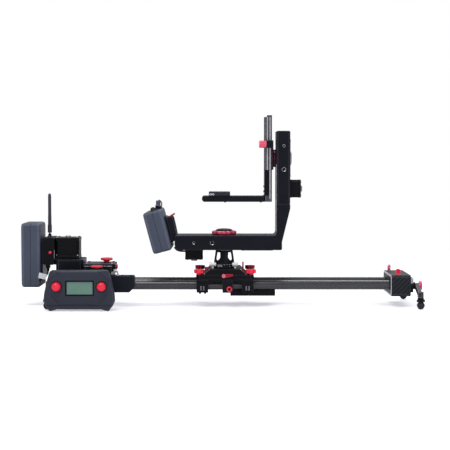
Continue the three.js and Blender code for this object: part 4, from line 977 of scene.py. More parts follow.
def hand_outline(inset):
    """The flared outline of the controller: shoulders above, bumper corners below."""
    h, t = half - inset, top - inset
    right = [(h - 15, inset), (h - 11, 3.4 + inset * 0.6), (h - 6.4, 9.5 + inset * 0.4), (h - 2, 18),
             (h - 0.3, 24), (h - 0.9, 34), (h - 2.6, 45), (h - 6.4, 61), (h - 8.8, 71), (h - 11.2, t - 13),
             (h - 13.1, t - 6), (h - 15.4, t - 1.8), (h - 18.5, t)]
    left = [(-u, v) for u, v in reversed(right)]
    return [(hx + u, v) for u, v in [(-50, inset + 4), (50, inset + 4), *right, *left]]


def lofted(sections):
    """A skin along Y through outlines of equal length, closed at both ends."""
    bm = new_mesh()
    wear_and_highlight = bm.faces.layers.float["wear_and_highlight"]
    rings = [[bm.verts.new((u, w, v)) for u, v in outline] for w, outline in sections]
    for a, b in zip(rings, rings[1:]):
        for i, v in enumerate(a):
            j = (i + 1) % len(a)
            bm.faces.new((v, a[j], b[j], b[i]))
    caps = [bm.faces.new(rings[0]), bm.faces.new(rings[-1])]
    bmesh.ops.recalc_face_normals(bm, faces=bm.faces)
    for face in bm.faces:
        # the sloped rim faces of the shell take the pale edge colour, partly rubbed, partly a painted
        # highlight
        if face not in caps and 0.25 < abs(face.normal.y) < 0.97:
            face[wear_and_highlight] = 0.5
    return bm


knobs = {side: AXLE[f"controller_knob_{side}_turn"] for side in ("left", "right")}
s_lo, s_hi = span("controller_screen")
y0 = lo.y
shell = lofted([(y0, hand_outline(3.6)), (y0 + 0.4, hand_outline(2.4)), (y0 + 1.1, hand_outline(1.5)),
               (y0 + 2.1, hand_outline(0.8)), (y0 + 3.5, hand_outline(0.3)), (y0 + 5.5, hand_outline(0)),
               (hi.y - 0.3, hand_outline(0)), (hi.y, hand_outline(0.4))])
cavity = lofted([(y0 + 4.5, hand_outline(6.5)), (hi.y + 1, hand_outline(4.0))])
window = block((s_lo.x - 0.3, s_hi.x + 0.3), (y0 - 1, y0 + 6), (s_lo.z - 0.3, s_hi.z + 0.3), 0)
bezel_seat = block((s_lo.x - 3, s_hi.x + 3), (y0 - 1, y0 + 1.9), (s_lo.z - 3, s_hi.z + 3), 0)
stems = [rod("y", (y0 - 1, y0 + 9), (p.x, 0, p.z), KNOB_HOLE, 0) for p in knobs.values()]
arch = [(-90, 12.4), (-45, 12.6), (-22, 13.6), (22, 13.6), (45, 12.6), (90, 12.4)]
groove = prism("y", [(hx + u, v) for u, v in arch] + [(hx + u, v + 2) for u, v in reversed(arch)],
               (y0 - 1, y0 + 1.3), 0)
shoulders = []
for s in (-1, 1):
    crease = new_mesh()
    for u, w, v in ((36, -4, top + 4), (36, 0, top + 4), (78, -4, 60.8), (78, 0, 60.8), (78, -4, top + 8),
                    (78, 8.5, top + 8)):
        crease.verts.new((hx + s * u, y0 + w, v))
    bmesh.ops.convex_hull(crease, input=crease.verts)
    bmesh.ops.recalc_face_normals(crease, faces=crease.faces)
    line = prism("y", [(hx + s * 38, 93.6), (hx + s * 40, 95.2), (hx + s * 75, 65.8), (hx + s * 73.4, 64.2)],
                 (y0 - 1, y0 + 1.1), 0)
    valley = prism("y", [(hx + s * 44, 18.4), (hx + s * 45.8, 17), (hx + s * 64, 38.4),
                   (hx + s * 62.2, 39.8)], (y0 - 1, y0 + 1.1), 0)
    shoulders += [crease, line, valley]
on_hand("hand_front_shell", carve(shell, cavity, window, bezel_seat, *stems, groove, *shoulders),
        controller_plastic, "controller_plastic", "controller_front_shell", origin=(hx, y0, 0), sharp=28)
shell = lofted([(b_lo.y, hand_outline(0.4)), (b_lo.y + 0.3, hand_outline(0)), (b_hi.y - 4, hand_outline(0)),
               (b_hi.y - 1.6, hand_outline(0.8)), (b_hi.y - 0.5, hand_outline(1.9)),
               (b_hi.y, hand_outline(3.4))])
cavity = lofted([(b_lo.y - 1, hand_outline(4.5)), (b_hi.y - 2.5, hand_outline(4.5))])
on_hand("hand_back_shell", carve(shell, cavity), controller_plastic, "controller_plastic",
        "controller_back_shell", origin=(hx, b_hi.y, 0), sharp=28)
frame_ring = prism("y", rect((s_lo.x - 2.8, s_hi.x + 2.8), (s_lo.z - 2.8, s_hi.z + 2.8), 1),
                   (y0 + 0.5, y0 + 1.8), 0.3)
opening = block((s_lo.x + 0.2, s_hi.x - 0.2), (y0 - 1, y0 + 4), (s_lo.z + 0.2, s_hi.z - 0.2), 0)
on_hand("display_bezel", carve(frame_ring, opening), hard_black, "black_plastic")
on_hand("display_glass", block((s_lo.x, s_hi.x), (s_lo.y, s_hi.y), (s_lo.z, s_hi.z), 0.3), screen,
        "screen_glass", "controller_screen", origin=(s_lo.x, s_lo.y, s_lo.z))
on_hand("circuit_board", block((hx - 55, hx + 55), (hi.y - 3.2, hi.y - 1.6), (20, 78), 0.2), hard_black,
        "black_plastic")
screws(on_hand, "hand_back_screws", "y", [(hx + u, b_hi.y - 0.4, v) for u,
       v in ((-58, 18), (58, 18), (-44, 80), (44, 80))], 1, 2.2, 0.9)
on_hand("hand_socket", block((hx - 30, hx - 16), (-134, -124), (top - 1.5, top + 1.2), 0.4), hard_black,
        "black_plastic")
for side, point in knobs.items():
    k_lo, k_hi = span(f"controller_knob_{side}")
    dome = [(0, k_lo.y), (3, k_lo.y + 0.1), (5.6, k_lo.y + 0.8), (8.0, k_lo.y + 2.3), (9.8, k_lo.y + 4.6),
            (10.5, k_lo.y + 7, 0.5), (10.5, y0 - 1.4, 1), (9.9, y0 - 0.5, 1), (0, y0 - 0.5)]
    piece(f"dial_{side}", [turned("y", dome, (point.x, 0, point.z), 120, 0.3, 20, 0.35),
          rod("y", (y0 - 1, k_hi.y), (point.x, 0, point.z), KNOB_STEM, 0.3)], red_plastic,
          f"controller_knob_{side}", "red_anodised", f"controller_knob_{side}", origin=point)
    ring = hoop("y", 10.9, 12.4, y0 - 0.4, y0 + 0.4, (point.x, 0, point.z), 64)
    on_hand(f"dial_ring_{side}", ring, hard_black, "black_plastic")


# ---------------------------------------------------------------- carriage
lo, hi = span("carriage_frame")
DECK_TOP = span("carriage_knob_front_left")[0].z + 7.7
HUMP_TOP = hi.z
half_x = (hi.x - lo.x) / 2
half_y = 68
WHEELS = {corner: AXLE[f"roller_{corner}_spin"] for corner in CORNERS}
deck = prism("z", rect((-half_x, half_x), (-half_y, half_y), 7), (65, DECK_TOP), 1.0)
cuts = []
for corner, (sx, sy) in CORNERS.items():
    w = WHEELS[corner]
    cuts.append(block(plus(w.x, 9.6), plus(w.y, 6.6), (60, 77.9), 0))
    cuts.append(rod("y", plus(w.y, 9.6), (w.x, 0, w.z), 2.9, 0))
    k = AXLE[f"carriage_knob_{corner}_turn"]
    cuts.append(rod("z", (DECK_TOP - 10, DECK_TOP + 1), (k.x, k.y, 0), KNOB_HOLE, 0))
lever, lock = AXLE["brake_lever_swing"], AXLE["carriage_lock_knob_turn"]
cuts.append(rod("y", (-half_y - 1, -half_y + 6), (lever.x, 0, lever.z), 2.3, 0))
on_carriage("deck", carve(deck, *cuts), hard_black, "black_anodised", "carriage_frame",
            origin=(0, 0, DECK_TOP))
hump = prism("y", [(-50, DECK_TOP + 0.05), (50, DECK_TOP + 0.05), (36, HUMP_TOP), (-36, HUMP_TOP)],
             (-half_y, half_y), 0.8)
pockets = [block(plus(w.x, 9.6), plus(w.y, 6.6), (60, 77.9), 0) for w in WHEELS.values()]
on_carriage("deck_hump", carve(hump, *pockets), hard_black, origin=(0, 0, HUMP_TOP))
for s, label in ((-1, "front"), (1, "rear")):
    ys = sorted((s * half_y, s * (half_y - 9.5)))
    outline = [(-half_x + 1, 56.2), (-31, 56.2), (-29, 58), (29, 58), (31, 56.2), (half_x - 1, 56.2),
               (half_x - 1, 64.8), (-half_x + 1, 64.8)]
    on_carriage(f"skirt_{label}", prism("y", outline, ys, 0.6), hard_black)
for corner, (sx, sy) in CORNERS.items():
    xs = sorted((sx * 39, sx * 66))
    outline = [(57.5, 64.7), (57.5, 39.5), (49.2, 38.7), (49.2, 34), (66, 34), (71, 40), (71, 60),
               (68.2, 64.7)]
    outline = [(u * sy, v) for u, v in outline]
    on_carriage(f"bogie_{corner}", prism("x", outline, xs, 0.8), hard_black, origin=(xs[0], sy * 71, 34))
    bars = [block(plus(sx * u, 1.7), sorted((sy * 70.6, sy * 71.7)), (39.4, 49.6), 0.4) for u in (49.2, 55.6)]
    on_carriage(f"bogie_bars_{corner}", bars, bar_grey)
    feet = [block(plus(sx * u, 2.6), sorted((sy * 64, sy * 69.4)), (31.6, 36.4), 0.5) for u in (46, 58)]
    on_carriage(f"bogie_feet_{corner}", feet, hard_black, "black_plastic")
    heads = [screw("y", (sx * 43.5, sy * 71, z), sy, 1.9, 1.3) for z in (45, 55)]
    heads.append(screw("y", (sx * 61.8, sy * 71, 52), sy, 1.9, 1.3))
    on_carriage(f"bogie_screws_{corner}", heads, hard_black, "pulley_metal")
    w = WHEELS[corner]
    caps = rod("y", sorted((sy * (half_y - 1), sy * (half_y + 0.6))), (w.x, 0, w.z + 3.4), 3.0, 0.3)
    on_carriage(f"axle_cap_{corner}", caps, hard_black, "pulley_metal")

# rollers, with a tread that follows the tube
for corner in CORNERS:
    w = WHEELS[corner]
    tread = [(w.z - RAIL_Z - math.sqrt((RAIL_R + 0.3) ** 2 - t * t), t) for t in (-6, -4.5, -3, -1.5, 0, 1.5,
             3, 4.5, 6)]
    shape = turned("y", [(2.6, w.y - 6), *[(r, w.y + t) for r, t in tread], (2.6, w.y + 6)], (w.x, 0, w.z),
                   48, 0.2, closed=True)
    piece(f"tread_{corner}", shape, rubber, f"roller_{corner}", "pulley_metal", f"roller_{corner}", origin=w)
    axle = [rod("y", plus(w.y, 9.2), (w.x, 0, w.z), 2.5, 0.3), hoop("y", 2.4, 4.6, *plus(w.y, 6.4),
            (w.x, 0, w.z))]
    piece(f"bearing_{corner}", axle, steel, f"roller_{corner}", "pulley_metal")

# mushroom knobs
for corner, (sx, sy) in CORNERS.items():
    k = AXLE[f"carriage_knob_{corner}_turn"]
    foot = DECK_TOP + 0.3
    head_low, head_top = foot + 3.6, foot + 12.6
    shape = [peg("z", [(5.2, foot), (5.2, foot + 1.4), (10.6, foot + 3.8)], (k.x, k.y, 0), 48, 0.5),
             grip_knob(12, head_low, head_top, (k.x, k.y, 0), 10, 1.1, "z"),
             rod("z", (foot - 8, foot + 1), (k.x, k.y, 0), KNOB_STEM, 0.3)]
    # the rear knobs take the darker red as painted shade, the front knobs the bright red
    paint = dark_red_and_shade if sy > 0 else red_plastic
    piece(f"mushroom_{corner}", shape, paint, f"carriage_knob_{corner}", "red_anodised",
          f"carriage_knob_{corner}", origin=(k.x, k.y, foot))
    cap = peg("z", [(6, head_top - 1), (6, head_top - 0.3), (4, head_top)], (k.x, k.y, 0), 40, 0.3)
    piece(f"mushroom_cap_{corner}", cap, dark_red_and_shade, f"carriage_knob_{corner}", "red_anodised")

# lock block, lever and lock knob on the front
front = -half_y - 3
body = block((-6, 18), (front, -58.8), (34, 64.7), 0.8)
on_carriage("lock_block", carve(body, rod("y", (front - 1, -60), (lock.x, 0, lock.z), 2.8, 0)), anodised,
            origin=(-6, front, 34))
screws(on_carriage, "lock_block_screws", "y", [(x, front, 60) for x in (-2.4, 14.4)], -1, 1.6, 1, hard_black)
ring = [(0, front - 7), (3.2, front - 7), (3.8, front - 9.6), (5.4, front - 10), (6.2, front - 9.4),
        (6.5, front - 8, 1), (6.5, front - 1.4, 1), (6.2, front - 0.4), (0, front - 0.4)]
piece("lock_grip", [turned("y", ring, (lock.x, 0, lock.z), 96, 0.3, 16, 0.35),
      rod("y", (front - 1, front + 8), (lock.x, 0, lock.z), 2.4, 0.3)], red_plastic, "carriage_lock_knob",
      "red_anodised", "carriage_lock_knob", origin=lock)
piece("lock_grip_centre", peg("y", [(3.0, front - 8.3), (3.0, front - 6.6)], (lock.x, 0, lock.z), 32, 0.3),
      hard_black, "carriage_lock_knob", "black_anodised")
l_lo, l_hi = span("brake_lever")
blade = [(-3.4, -3.4), (0, -4.3), (4, -4.5), (12, -2.8), (20.4, -0.4), (22, 1.4), (21.8, 3.4), (20, 5),
         (12, 5), (4, 4.5), (0, 4.3), (-3.4, 3.2)]
piece("lever_blade", [prism("y", [(lever.x + u, lever.z + v) for u, v in blade],
      (-half_y - 4.9, -half_y - 0.5), 1.1, 3), rod("y", (-half_y - 1, l_hi.y), (lever.x, 0, lever.z), 1.9,
      0.2)], dark_red_and_shade, "brake_lever", "red_anodised", "brake_lever", origin=lever)
piece("lever_screw", peg("y", [(1.9, l_lo.y + 0.7), (2.3, l_lo.y), (3.6, l_lo.y + 0.2), (4.5, l_lo.y + 1),
      (4.5, -half_y - 4.6)], (lever.x, 0, lever.z), 32, 0.3), pink_red, "brake_lever", "pulley_metal")

# small fixed levers, bright bevels and level knobs round the bowl
# two steel strips for the bright bevelled corners of the casting: partly polished metal, partly a painted
# highlight
for i, s in enumerate((-1, 1)):
    blade = [(s * 49, 75.3), (s * 46.2, 75.3), (s * 35.5, 86.6), (s * 35, 88), (s * 36.6, 88.2),
             (s * 46.2, 78.2), (s * 48.8, 77.6)]
    on_carriage(f"bowl_bright_bevel_{i + 1}", prism("y", blade, (-66, -61.5), 0.5), steel, "rail_metal")
on_carriage("bowl_lever_left", [prism("y", [(-47, 86), (-36, 87.6), (-33.4, 90), (-34.6, 92.4), (-38, 92),
            (-47.6, 90.6)], (-49, -44), 1.0), rod("z", (85, 88.5), (-38, -46.5, 0), 3, 0.4)], hard_black)
on_carriage("bowl_clamp_left", [prism("y", [(-46.5, 86.4), (-40, 85.2), (-35.4, 88.2), (-35.4, 92),
            (-46, 92)], (-50, -34), 0.8), peg("y", [(2.2, -52), (2.2, -49.8)], (-42, 0, 89), 24, 0.3)],
            dark_red_and_shade)
on_carriage("bowl_lever_right", [prism("x", [(-40, 80.3), (-32, 80.3), (-33, 96), (-34.6, 104), (-38.6, 104),
            (-40, 92)], (40, 43.8), 1.1)], dark_red_and_shade)
for name, x0, x1 in (("left", -37, -21), ("right", 17, 30.5)):
    knob = peg("x", [(4.2, x0), (5, x0 + 1), (5, x0 + 5), (4.4, x0 + 5.6), (4.4, x1 - 5.6), (5, x1 - 5),
               (5, x1 - 1), (4.2, x1)], (0, -29.8, 96.5), 48, 0.3)
    stand = block(plus((x0 + x1) / 2, 2.5), (-31.5, -27.5), (HUMP_TOP - 0.2, 95), 0.3)
    on_carriage(f"level_knob_{name}", [knob, stand], white_metal, "pulley_metal")

# riser: flange, ring with index marks, windowed cone, cap, and the fixed pulley
PAN = AXLE["pan"]
px = (PAN.x, 0, 0)
base = peg("z", [(30, 88.3), (30, 90.2), (26.5, 91), (24.5, 91.5), (24.5, 99)], px, 96, 0.6)
on_carriage("riser_base", base, anodised, "black_anodised", "riser_cone", origin=(PAN.x, 0, 88.3))
band = hoop("z", 24.3, 24.9, 92.4, 97, px, 96, 0.1)
on_carriage("riser_band", band, hard_black)
marks = []
for i in range(-10, 11):
    tall = 3.2 if i % 5 == 0 else 1.8
    mark = block((24.7, 25.05), plus(0, 0.28), (96.4 - tall, 96.4), 0.04)
    marks.append(moved(mark, Matrix.Translation(px) @ Matrix.Rotation(math.radians(-90 + 6 * i), 4, "Z")))
on_carriage("riser_marks", marks, white_paint)
arc = [(24.6 * math.cos(math.radians(a)), 24.6 * math.sin(math.radians(a))) for a in range(-128, -99, 4)]
arc += [(25.5 * math.cos(math.radians(a)), 25.5 * math.sin(math.radians(a))) for a in range(-100, -129, -4)]
on_carriage("riser_index", prism("z", [(PAN.x + u, v) for u, v in arc], (91.6, 93.2), 0.15), white_paint)
screws(on_carriage, "riser_bolts", "z", [(PAN.x + 27.4 * math.cos(math.radians(a)),
       27.4 * math.sin(math.radians(a)), 90.4) for a in (-60, 0, 60, 120, 180, 240)], 1, 1.7, 1.4)
cone = turned("z", [(20.5, 98.6), (24.5, 98.6), (20, 129), (16, 129)], px, 96, 0.5, closed=True)
drop = [(-8, 110), (-7.4, 107), (-5, 104.2), (-2.4, 102.8), (0, 102.5), (2.4, 102.8), (5, 104.2), (7.4, 107),
        (8, 110), (7.4, 117), (6, 124), (-6, 124), (-7.4, 117)]
windows = [moved(prism("x", drop, (5, 40), 0), Matrix.Translation(px)
           @ Matrix.Rotation(math.radians(45 + 90 * i), 4, "Z")) for i in range(4)]
on_carriage("riser_windowed_cone", carve(cone, *windows), anodised, origin=(PAN.x, 0, 98))
cap = peg("z", [(16.2, 125), (16.2, 127), (20, 127.4), (20, 130.6)], px, 64, 0.4)
on_carriage("riser_top", cap, grey_metal)
bolt = peg("z", [(9, 98.6), (9, 101), (6, 103), (5, 104), (5, 125.4)], px, 40, 0.4)
on_carriage("riser_bolt", bolt, pulley_metal)
edge = rim(22, 143, 152, 2.5, 1)
post = [(0, 130.4), (8, 130.4), (8, 142)]
on_carriage("fixed_pulley", turned("z", [*post, *edge, (0, 153)], px, 352, 0.25, 44, 0.7), pulley_metal,
            origin=PAN)

# ---------------------------------------------------------------- pan arm
lo, hi = span("pan_arm")
b_lo, b_hi = span("pan_belt")
MOTOR = AXLE["pan_pinion_spin"]
arm_y, beam_z, beam_x = 44, (lo.z, lo.z + 34), -117
col_lo, col_hi = span("upper_column")
cx0, cx1 = col_lo.x, 152
outline = [(beam_x, beam_z[0] + 7), (beam_x + 9, beam_z[0]), (129, beam_z[0]), (132.2, beam_z[0] + 0.8),
           (133, beam_z[0] + 2.6), (133, beam_z[0] + 19), (cx1, 228), (cx1, 238.6), (cx0, 238.6),
           (cx0, beam_z[1] + 7), (cx0 - 1.6, beam_z[1] + 2.4), (cx0 - 6, beam_z[1]), (beam_x, beam_z[1])]
beam = prism("y", outline, (-arm_y, arm_y), 1.1, 3)
cavity = block((-103, 100), (-arm_y + 3, arm_y - 3), (beam_z[0] + 3, beam_z[1] - 3), 0)
cuts = [cavity, rod("z", (beam_z[0] - 1, beam_z[0] + 4), px, 8.3, 0),
        rod("z", (beam_z[0] - 1, beam_z[0] + 4), (MOTOR.x, 0, 0), 7, 0),
        rod("z", (beam_z[1] - 4, beam_z[1] + 1), px, 5, 0)]
HOLES = [(-73, 3.2), (-30, 4.7)]
cuts += [rod("y", (-arm_y - 1, -arm_y + 2.4), (x, 0, 148), r, 0) for x, r in HOLES]
on_arm("arm_beam", carve(beam, *cuts), anodised, "black_anodised", "pan_arm", origin=(0, -arm_y, lo.z))


def threaded_hole(x, z, r, y, name):
    """Bright thread crests inside a hole, with a light chamfer at its mouth."""
    profile = [(r + 0.5, y - 0.12), (r - 0.2, y + 0.5)]
    for i in range(3):
        profile += [(r - 0.62, y + 0.8 + 0.5 * i), (r - 0.2, y + 1.05 + 0.5 * i)]
    profile += [(r + 0.5, y + 2.3)]
    on_arm(name, turned("y", profile, (x, 0, z), 40, 0, closed=True), steel)


for i, (x, r) in enumerate(HOLES):
    threaded_hole(x, 148, r, -arm_y, f"arm_thread_{i + 1}")
on_arm("arm_bottom_cover", prism("y", [(beam_x + 14, lo.z - 2.6), (beam_x + 18, lo.z - 2.6),
       (beam_x + 18, lo.z), (beam_x + 10, lo.z)], (-36, 36), 0.3), hard_black)
cover = block((38, 112), (-36, 36), (lo.z - 1.4, lo.z + 0.2), 0.5)
on_arm("arm_under_cover", cover, hard_black)
screws(on_arm, "arm_under_screws", "z", [(x, y, lo.z - 1.2) for x in (43, 107) for y in (-30, 30)], -1, 1.6,
       0.8)
top_cover = block((beam_x + 3, cx0 - 8), (-42.6, 42.6), (beam_z[1] - 0.2, beam_z[1] + 0.15), 0.1)
on_arm("arm_top_cover", top_cover, hard_black)
screws(on_arm, "arm_top_screws", "z", [(x, y, beam_z[1] + 0.1) for x in (36, 96) for y in (-28, 28)], 1, 1.7,
       0.9, hard_black)
on_arm("arm_end_cover", prism("x", rect((-38, 38), (beam_z[0] + 10, beam_z[1] - 2), 3),
       (beam_x - 0.9, beam_x + 0.6), 0.4), hard_black)

# the leaning battery plate and brick
lean_lo, lean_hi = span("arm_battery")
lean_centre = (lean_lo + lean_hi) / 2
BRICK_SIZE = (150, 98, 45.2)        # wide, long, thick
LEAN_ANGLE = -15                    # the plate leans away from the column, in degrees
LEAN = Matrix.Translation(lean_centre) @ Matrix.Rotation(math.radians(LEAN_ANGLE), 4, "Y")
plate = prism("x", rect((-38, 38), (-34, 28), 6), (22.9, 28), 0.8)
bracket = [prism("y", [(27.9, -33), (37.5, -33), (39.5, -26), (41, 0), (41.5, 20), (39.6, 23.5), (27.9, 26)],
           ys, 0.8) for ys in ((-37, -32), (32, 37))]
back = block((27.8, 38.6), (-31.8, 31.8), (-33, 20), 0.8)
on_arm("lean_plate", moved(plate, LEAN), anodised, origin=LEAN @ Vector((22, -38, -34)))
on_arm("lean_bracket", moved(merged(*bracket, back), LEAN), anodised_blue,
       origin=LEAN @ Vector((27, -38, -34)))
lever = prism("y", [(31, 22), (35, 23), (47, 26.6), (49.4, 29), (48.2, 31.2), (36, 27.6), (31, 26)],
              (-36, -29), 1.0)
on_arm("release_lever", moved(lever, LEAN), dark_red_and_shade)
heads = [screw("x", (27.6, y, z), 1, 1.8, 1.4) for y in (-26, 26) for z in (12, 23)]
on_arm("lean_screws", moved(merged(*heads), LEAN), steel)
brick("arm_brick", "arm_battery", *BRICK_SIZE, LEAN)
dome = turned("z", [(0, 48), (6.6, 48), (6.4, 52), (5.4, 55), (3.2, 57), (0, 57.6)], (3.5, -60, 0), 40, 0.3)
piece("arm_brick_cap", moved(dome, LEAN), rubber, "arm_battery", "rubber")
plug = peg("z", [(6.2, -1), (6.2, 10), (5.4, 11), (5.4, 19.6), (4.6, 21)], (0, 0, 0), 40, 0.4)
tilt_plug = Matrix.Translation((13.7, -46, 48.6)) @ Matrix.Rotation(math.radians(18), 4, "Y")
piece("arm_brick_plug", moved(plug, LEAN @ tilt_plug), battery_plastic, "arm_battery", "battery_plastic")
collar = rod("z", (2, 8.6), (0, 0, 0), 6.7, 0.4, 40)
piece("arm_brick_plug_collar", moved(collar, LEAN @ tilt_plug), hard_black, "arm_battery", "black_plastic")
start = LEAN @ tilt_plug @ Vector((0, 0, 19.4))  # inside the plug
end = LEAN @ Vector((20.5, -30, 48.6))
piece("arm_brick_cable", sweep([start - Vector((0, 0, 1)), start + Vector((2, 3, 2.4)),
      start + Vector((7, 10, -4)), end + Vector((1, -2, 3)), end], 1.3), cable_skin, "arm_battery",
      "black_plastic")

# pan motor, its belt and pinion, and the loop of cable under the arm


SMALL_MOTOR_HALF, SMALL_MOTOR_SCREW = 21, 15.5


def small_motor(name, axis_matrix, length, node, lead):
    """A square stepper: flange, laminated middle, end cap, boss, screws and a cable socket."""
    def put(label, shape, paint, slot, *stands):
        on_arm(f"{name}_{label}", moved(shape, axis_matrix), paint, slot, *stands,
               origin=axis_matrix @ Vector((0, 0, 0)))

    def square(reach, cut):
        return rect((-reach, reach), (-reach, reach), cut)

    hole = rod("z", (-6, 1), (0, 0, 0), 3, 0)
    put("flange", carve(prism("z", square(SMALL_MOTOR_HALF, 3.6), (-6.4, -0.3), 0.6), hole), motor_cap,
        "motor_black", node)
    put("stack", prism("z", square(SMALL_MOTOR_HALF - 0.4, 5), (-length + 6.4, -6.5), 0.3), motor_steel,
        "motor_black")
    put("end", prism("z", square(SMALL_MOTOR_HALF, 3.6), (-length, -length + 6.3), 0.6), motor_cap,
        "motor_black")
    put("boss", peg("z", [(7.5, -length + 0.2), (7.5, -length - 3), (6.6, -length - 4), (3.2, -length - 4),
        (3, -length - 2.6)], (0, 0, 0), 40, 0.35), grey_metal, "motor_black")
    heads = merged(*[screw("z", (sx * SMALL_MOTOR_SCREW, sy * SMALL_MOTOR_SCREW, -length), -1, 1.8,
                   1.2) for sx in (-1, 1) for sy in (-1, 1)])
    put("screws", heads, steel, "pulley_metal")
    put("socket", block((-6, 6), sorted((lead * 20.4, lead * 24)), (-length + 1, -length + 6), 0.4),
        black_plastic, "black_plastic")


small_motor("pan_stepper", Matrix.Translation((MOTOR.x, 0, 131)), 24, "pan_motor", -1)
on_arm("pan_cable", sweep([(-118, -40, 138), (-113, -39.4, 132), (-105, -37.6, 128.8), (-97, -33, 128),
       (-90.5, -26, 127)], 2.0), cable_skin)
belt = toothed_belt("z", MOTOR.x, 6.3, PAN.x, 22.3, 1.5, (b_lo.z, b_hi.z), 2.0, 0.5)
on_arm("pan_drive_belt", belt, belt_rubber, "belt_rubber", "pan_belt", origin=(0, 0, b_lo.z))


def pinion(low, high, centre):
    """The small toothed pulley on a stepper's shaft, seen along +Z from the motor face."""
    edge = rim(6, low - 0.5, high + 0.5, 2, 1.1)
    return turned("z", [(0, -5), (2.5, -5), (2.5, low - 1.6), *edge, (0, high + 1.6)], centre, 96, 0.2, 12,
                  0.6)


piece("pan_toothed_pinion", pinion(b_lo.z - 131, b_hi.z - 131, (MOTOR.x, 0, 131)), pulley_metal, "pan_pinion",
      "pulley_metal", "pan_pinion", origin=MOTOR)

# red hand wheel with its dark dome
lo, hi = span("pan_wheel")
base = lo.z + 3
wheel = turned("z", [(0, base), (26.4, base, 0.8), (29, base + 2.4, 1), (29, base + 6.8, 1),
               (27.4, base + 9, 0.8), (21.4, base + 9, 0), (20.6, base + 8.2, 0), (0, base + 8.2, 0)], px,
               144, 0.6, 12, 2.4)
# the pan wheel takes the lightened red as a painted highlight
piece("wheel_rim", [wheel, rod("z", (lo.z, base + 1), px, 4.6, 0.3)], highlit_red, "pan_wheel", "red_anodised",
      "pan_wheel", origin=(PAN.x, 0, base))
dome = [(0, base + 7.8), (20, base + 7.8), (20, base + 10), (18.6, base + 11.8), (14.6, base + 13.4),
        (8, base + 14.2), (0, base + 14.4)]
piece("wheel_dome", turned("z", dome, px, 64, 0.4), hard_black, "pan_wheel", "black_plastic",
      origin=(PAN.x, 0, base + 9))
piece("wheel_groove", hoop("z", 22, 25, base + 8.6, base + 9.2, px, 96, 0.15), dark_red_and_shade, "pan_wheel",
      "red_anodised")

# ---------------------------------------------------------------- column and tilt
lo, hi = col_lo, col_hi
TILT = AXLE["tilt"]
TMOTOR = AXLE["tilt_pinion_spin"]
column = prism("z", rect((lo.x, cx1), (-42, 42), 3), (lo.z, hi.z), 0.9, 3)
cuts = [block((lo.x + 3, cx1 - 3), (-30, 30), (255, 378), 0),
        rod("x", (lo.x - 1, lo.x + 4), (0, 0, TILT.z), 8.3, 0), rod("x", (cx1 - 4, cx1 + 1), (0, 0, TMOTOR.z),
        7, 0)]
C_HOLES = [(374, 3.2), (319, 4.7)]
cuts += [rod("y", (-43, -39.6), (137, 0, z), r, 0) for z, r in C_HOLES]
on_arm("column_body", carve(column, *cuts), anodised, "black_anodised", "upper_column",
       origin=(lo.x, -42, lo.z))
for i, (z, r) in enumerate(C_HOLES):
    threaded_hole(137, z, r, -42, f"column_thread_{i + 1}")
on_arm("column_dome", peg("x", [(16.5, cx1 - 0.4), (16.5, cx1 + 2.4), (15.2, cx1 + 3.9), (12, cx1 + 4.7),
       (6, cx1 + 5)], (0, 0, TILT.z), 64, 0.3), grey_metal, origin=(cx1, 0, TILT.z))
on_arm("column_top_cover", block((lo.x + 2.6, cx1 - 2.6), (-38, 38), (hi.z - 0.3, hi.z + 0.9), 0.4),
       hard_black)
on_arm("column_side_cover", prism("x", round_rect((-34, 34), (300, 390), 4), (cx1 - 0.3, cx1 + 0.7), 0.3,
       over=60), anodised_blue)
screws(on_arm, "column_side_screws", "x", [(cx1 + 0.7, y, z) for y in (-29, 29) for z in (305, 385)], 1, 1.7,
       0.9)
# a pale sheet over the column's left face: a painted highlight for the light falling on that side
lit_side_sheet = block((lo.x - 0.3, lo.x + 0.3), (-40, 40), (174, 331), 0.1)
on_arm("column_side_highlight", lit_side_sheet, pale_side_strip)
screws(on_arm, "column_joint_screws", "y", [(x, -42, 246) for x in (127, 145)], -1, 1.7, 0.8, hard_black)
turn = Matrix.Translation((cx1, 0, TMOTOR.z)) @ Matrix.Rotation(-math.pi / 2, 4, "Y")
small_motor("tilt_stepper", turn, 26, "tilt_motor", 1)
t_lo, t_hi = span("tilt_belt")
belt = toothed_belt("z", TMOTOR.z, 6.3, TILT.z, 22.3, 1.5, (-t_hi.x, -t_lo.x), 2.0, 0.5)
on_arm("tilt_drive_belt", moved(belt, Matrix.Rotation(-math.pi / 2, 4, "Y")), belt_rubber, "belt_rubber",
       "tilt_belt", origin=(t_lo.x, 0, TMOTOR.z))
small = pinion(cx1 - t_hi.x, cx1 - t_lo.x, (0, 0, 0))
piece("tilt_toothed_pinion", moved(small, turn), pulley_metal, "tilt_pinion", "pulley_metal", "tilt_pinion",
      origin=TMOTOR)
on_arm("tilt_cable", sweep([(cx1 + 24, 22.6, TMOTOR.z), (cx1 + 23, 29, TMOTOR.z + 6),
       (cx1 + 14, 34, TMOTOR.z + 16), (cx1 + 2, 35, TMOTOR.z + 20)], 1.8), cable_skin)

# ---------------------------------------------------------------- tilt head and camera bracket
shaft = [(0, 118.6), (8, 118.6), (8, 131)]
edge = rim(22, 132, 141, 2.5, 1)
tc = (0, 0, TILT.z)
on_head("tilt_pulley", turned("x", [*shaft, *edge, (0, 142)], tc, 352, 0.25, 44, 0.7), pulley_metal,
        "pulley_metal", "tilt_hub", origin=TILT)
wheel = turned("x", [(0, 113.2), (19.6, 113.2, 0.8), (21.5, 114.6, 1), (21.5, 118.2, 1), (20, 119.5, 0.8),
               (0, 119.5)], tc, 120, 0.5, 10, 1.6)
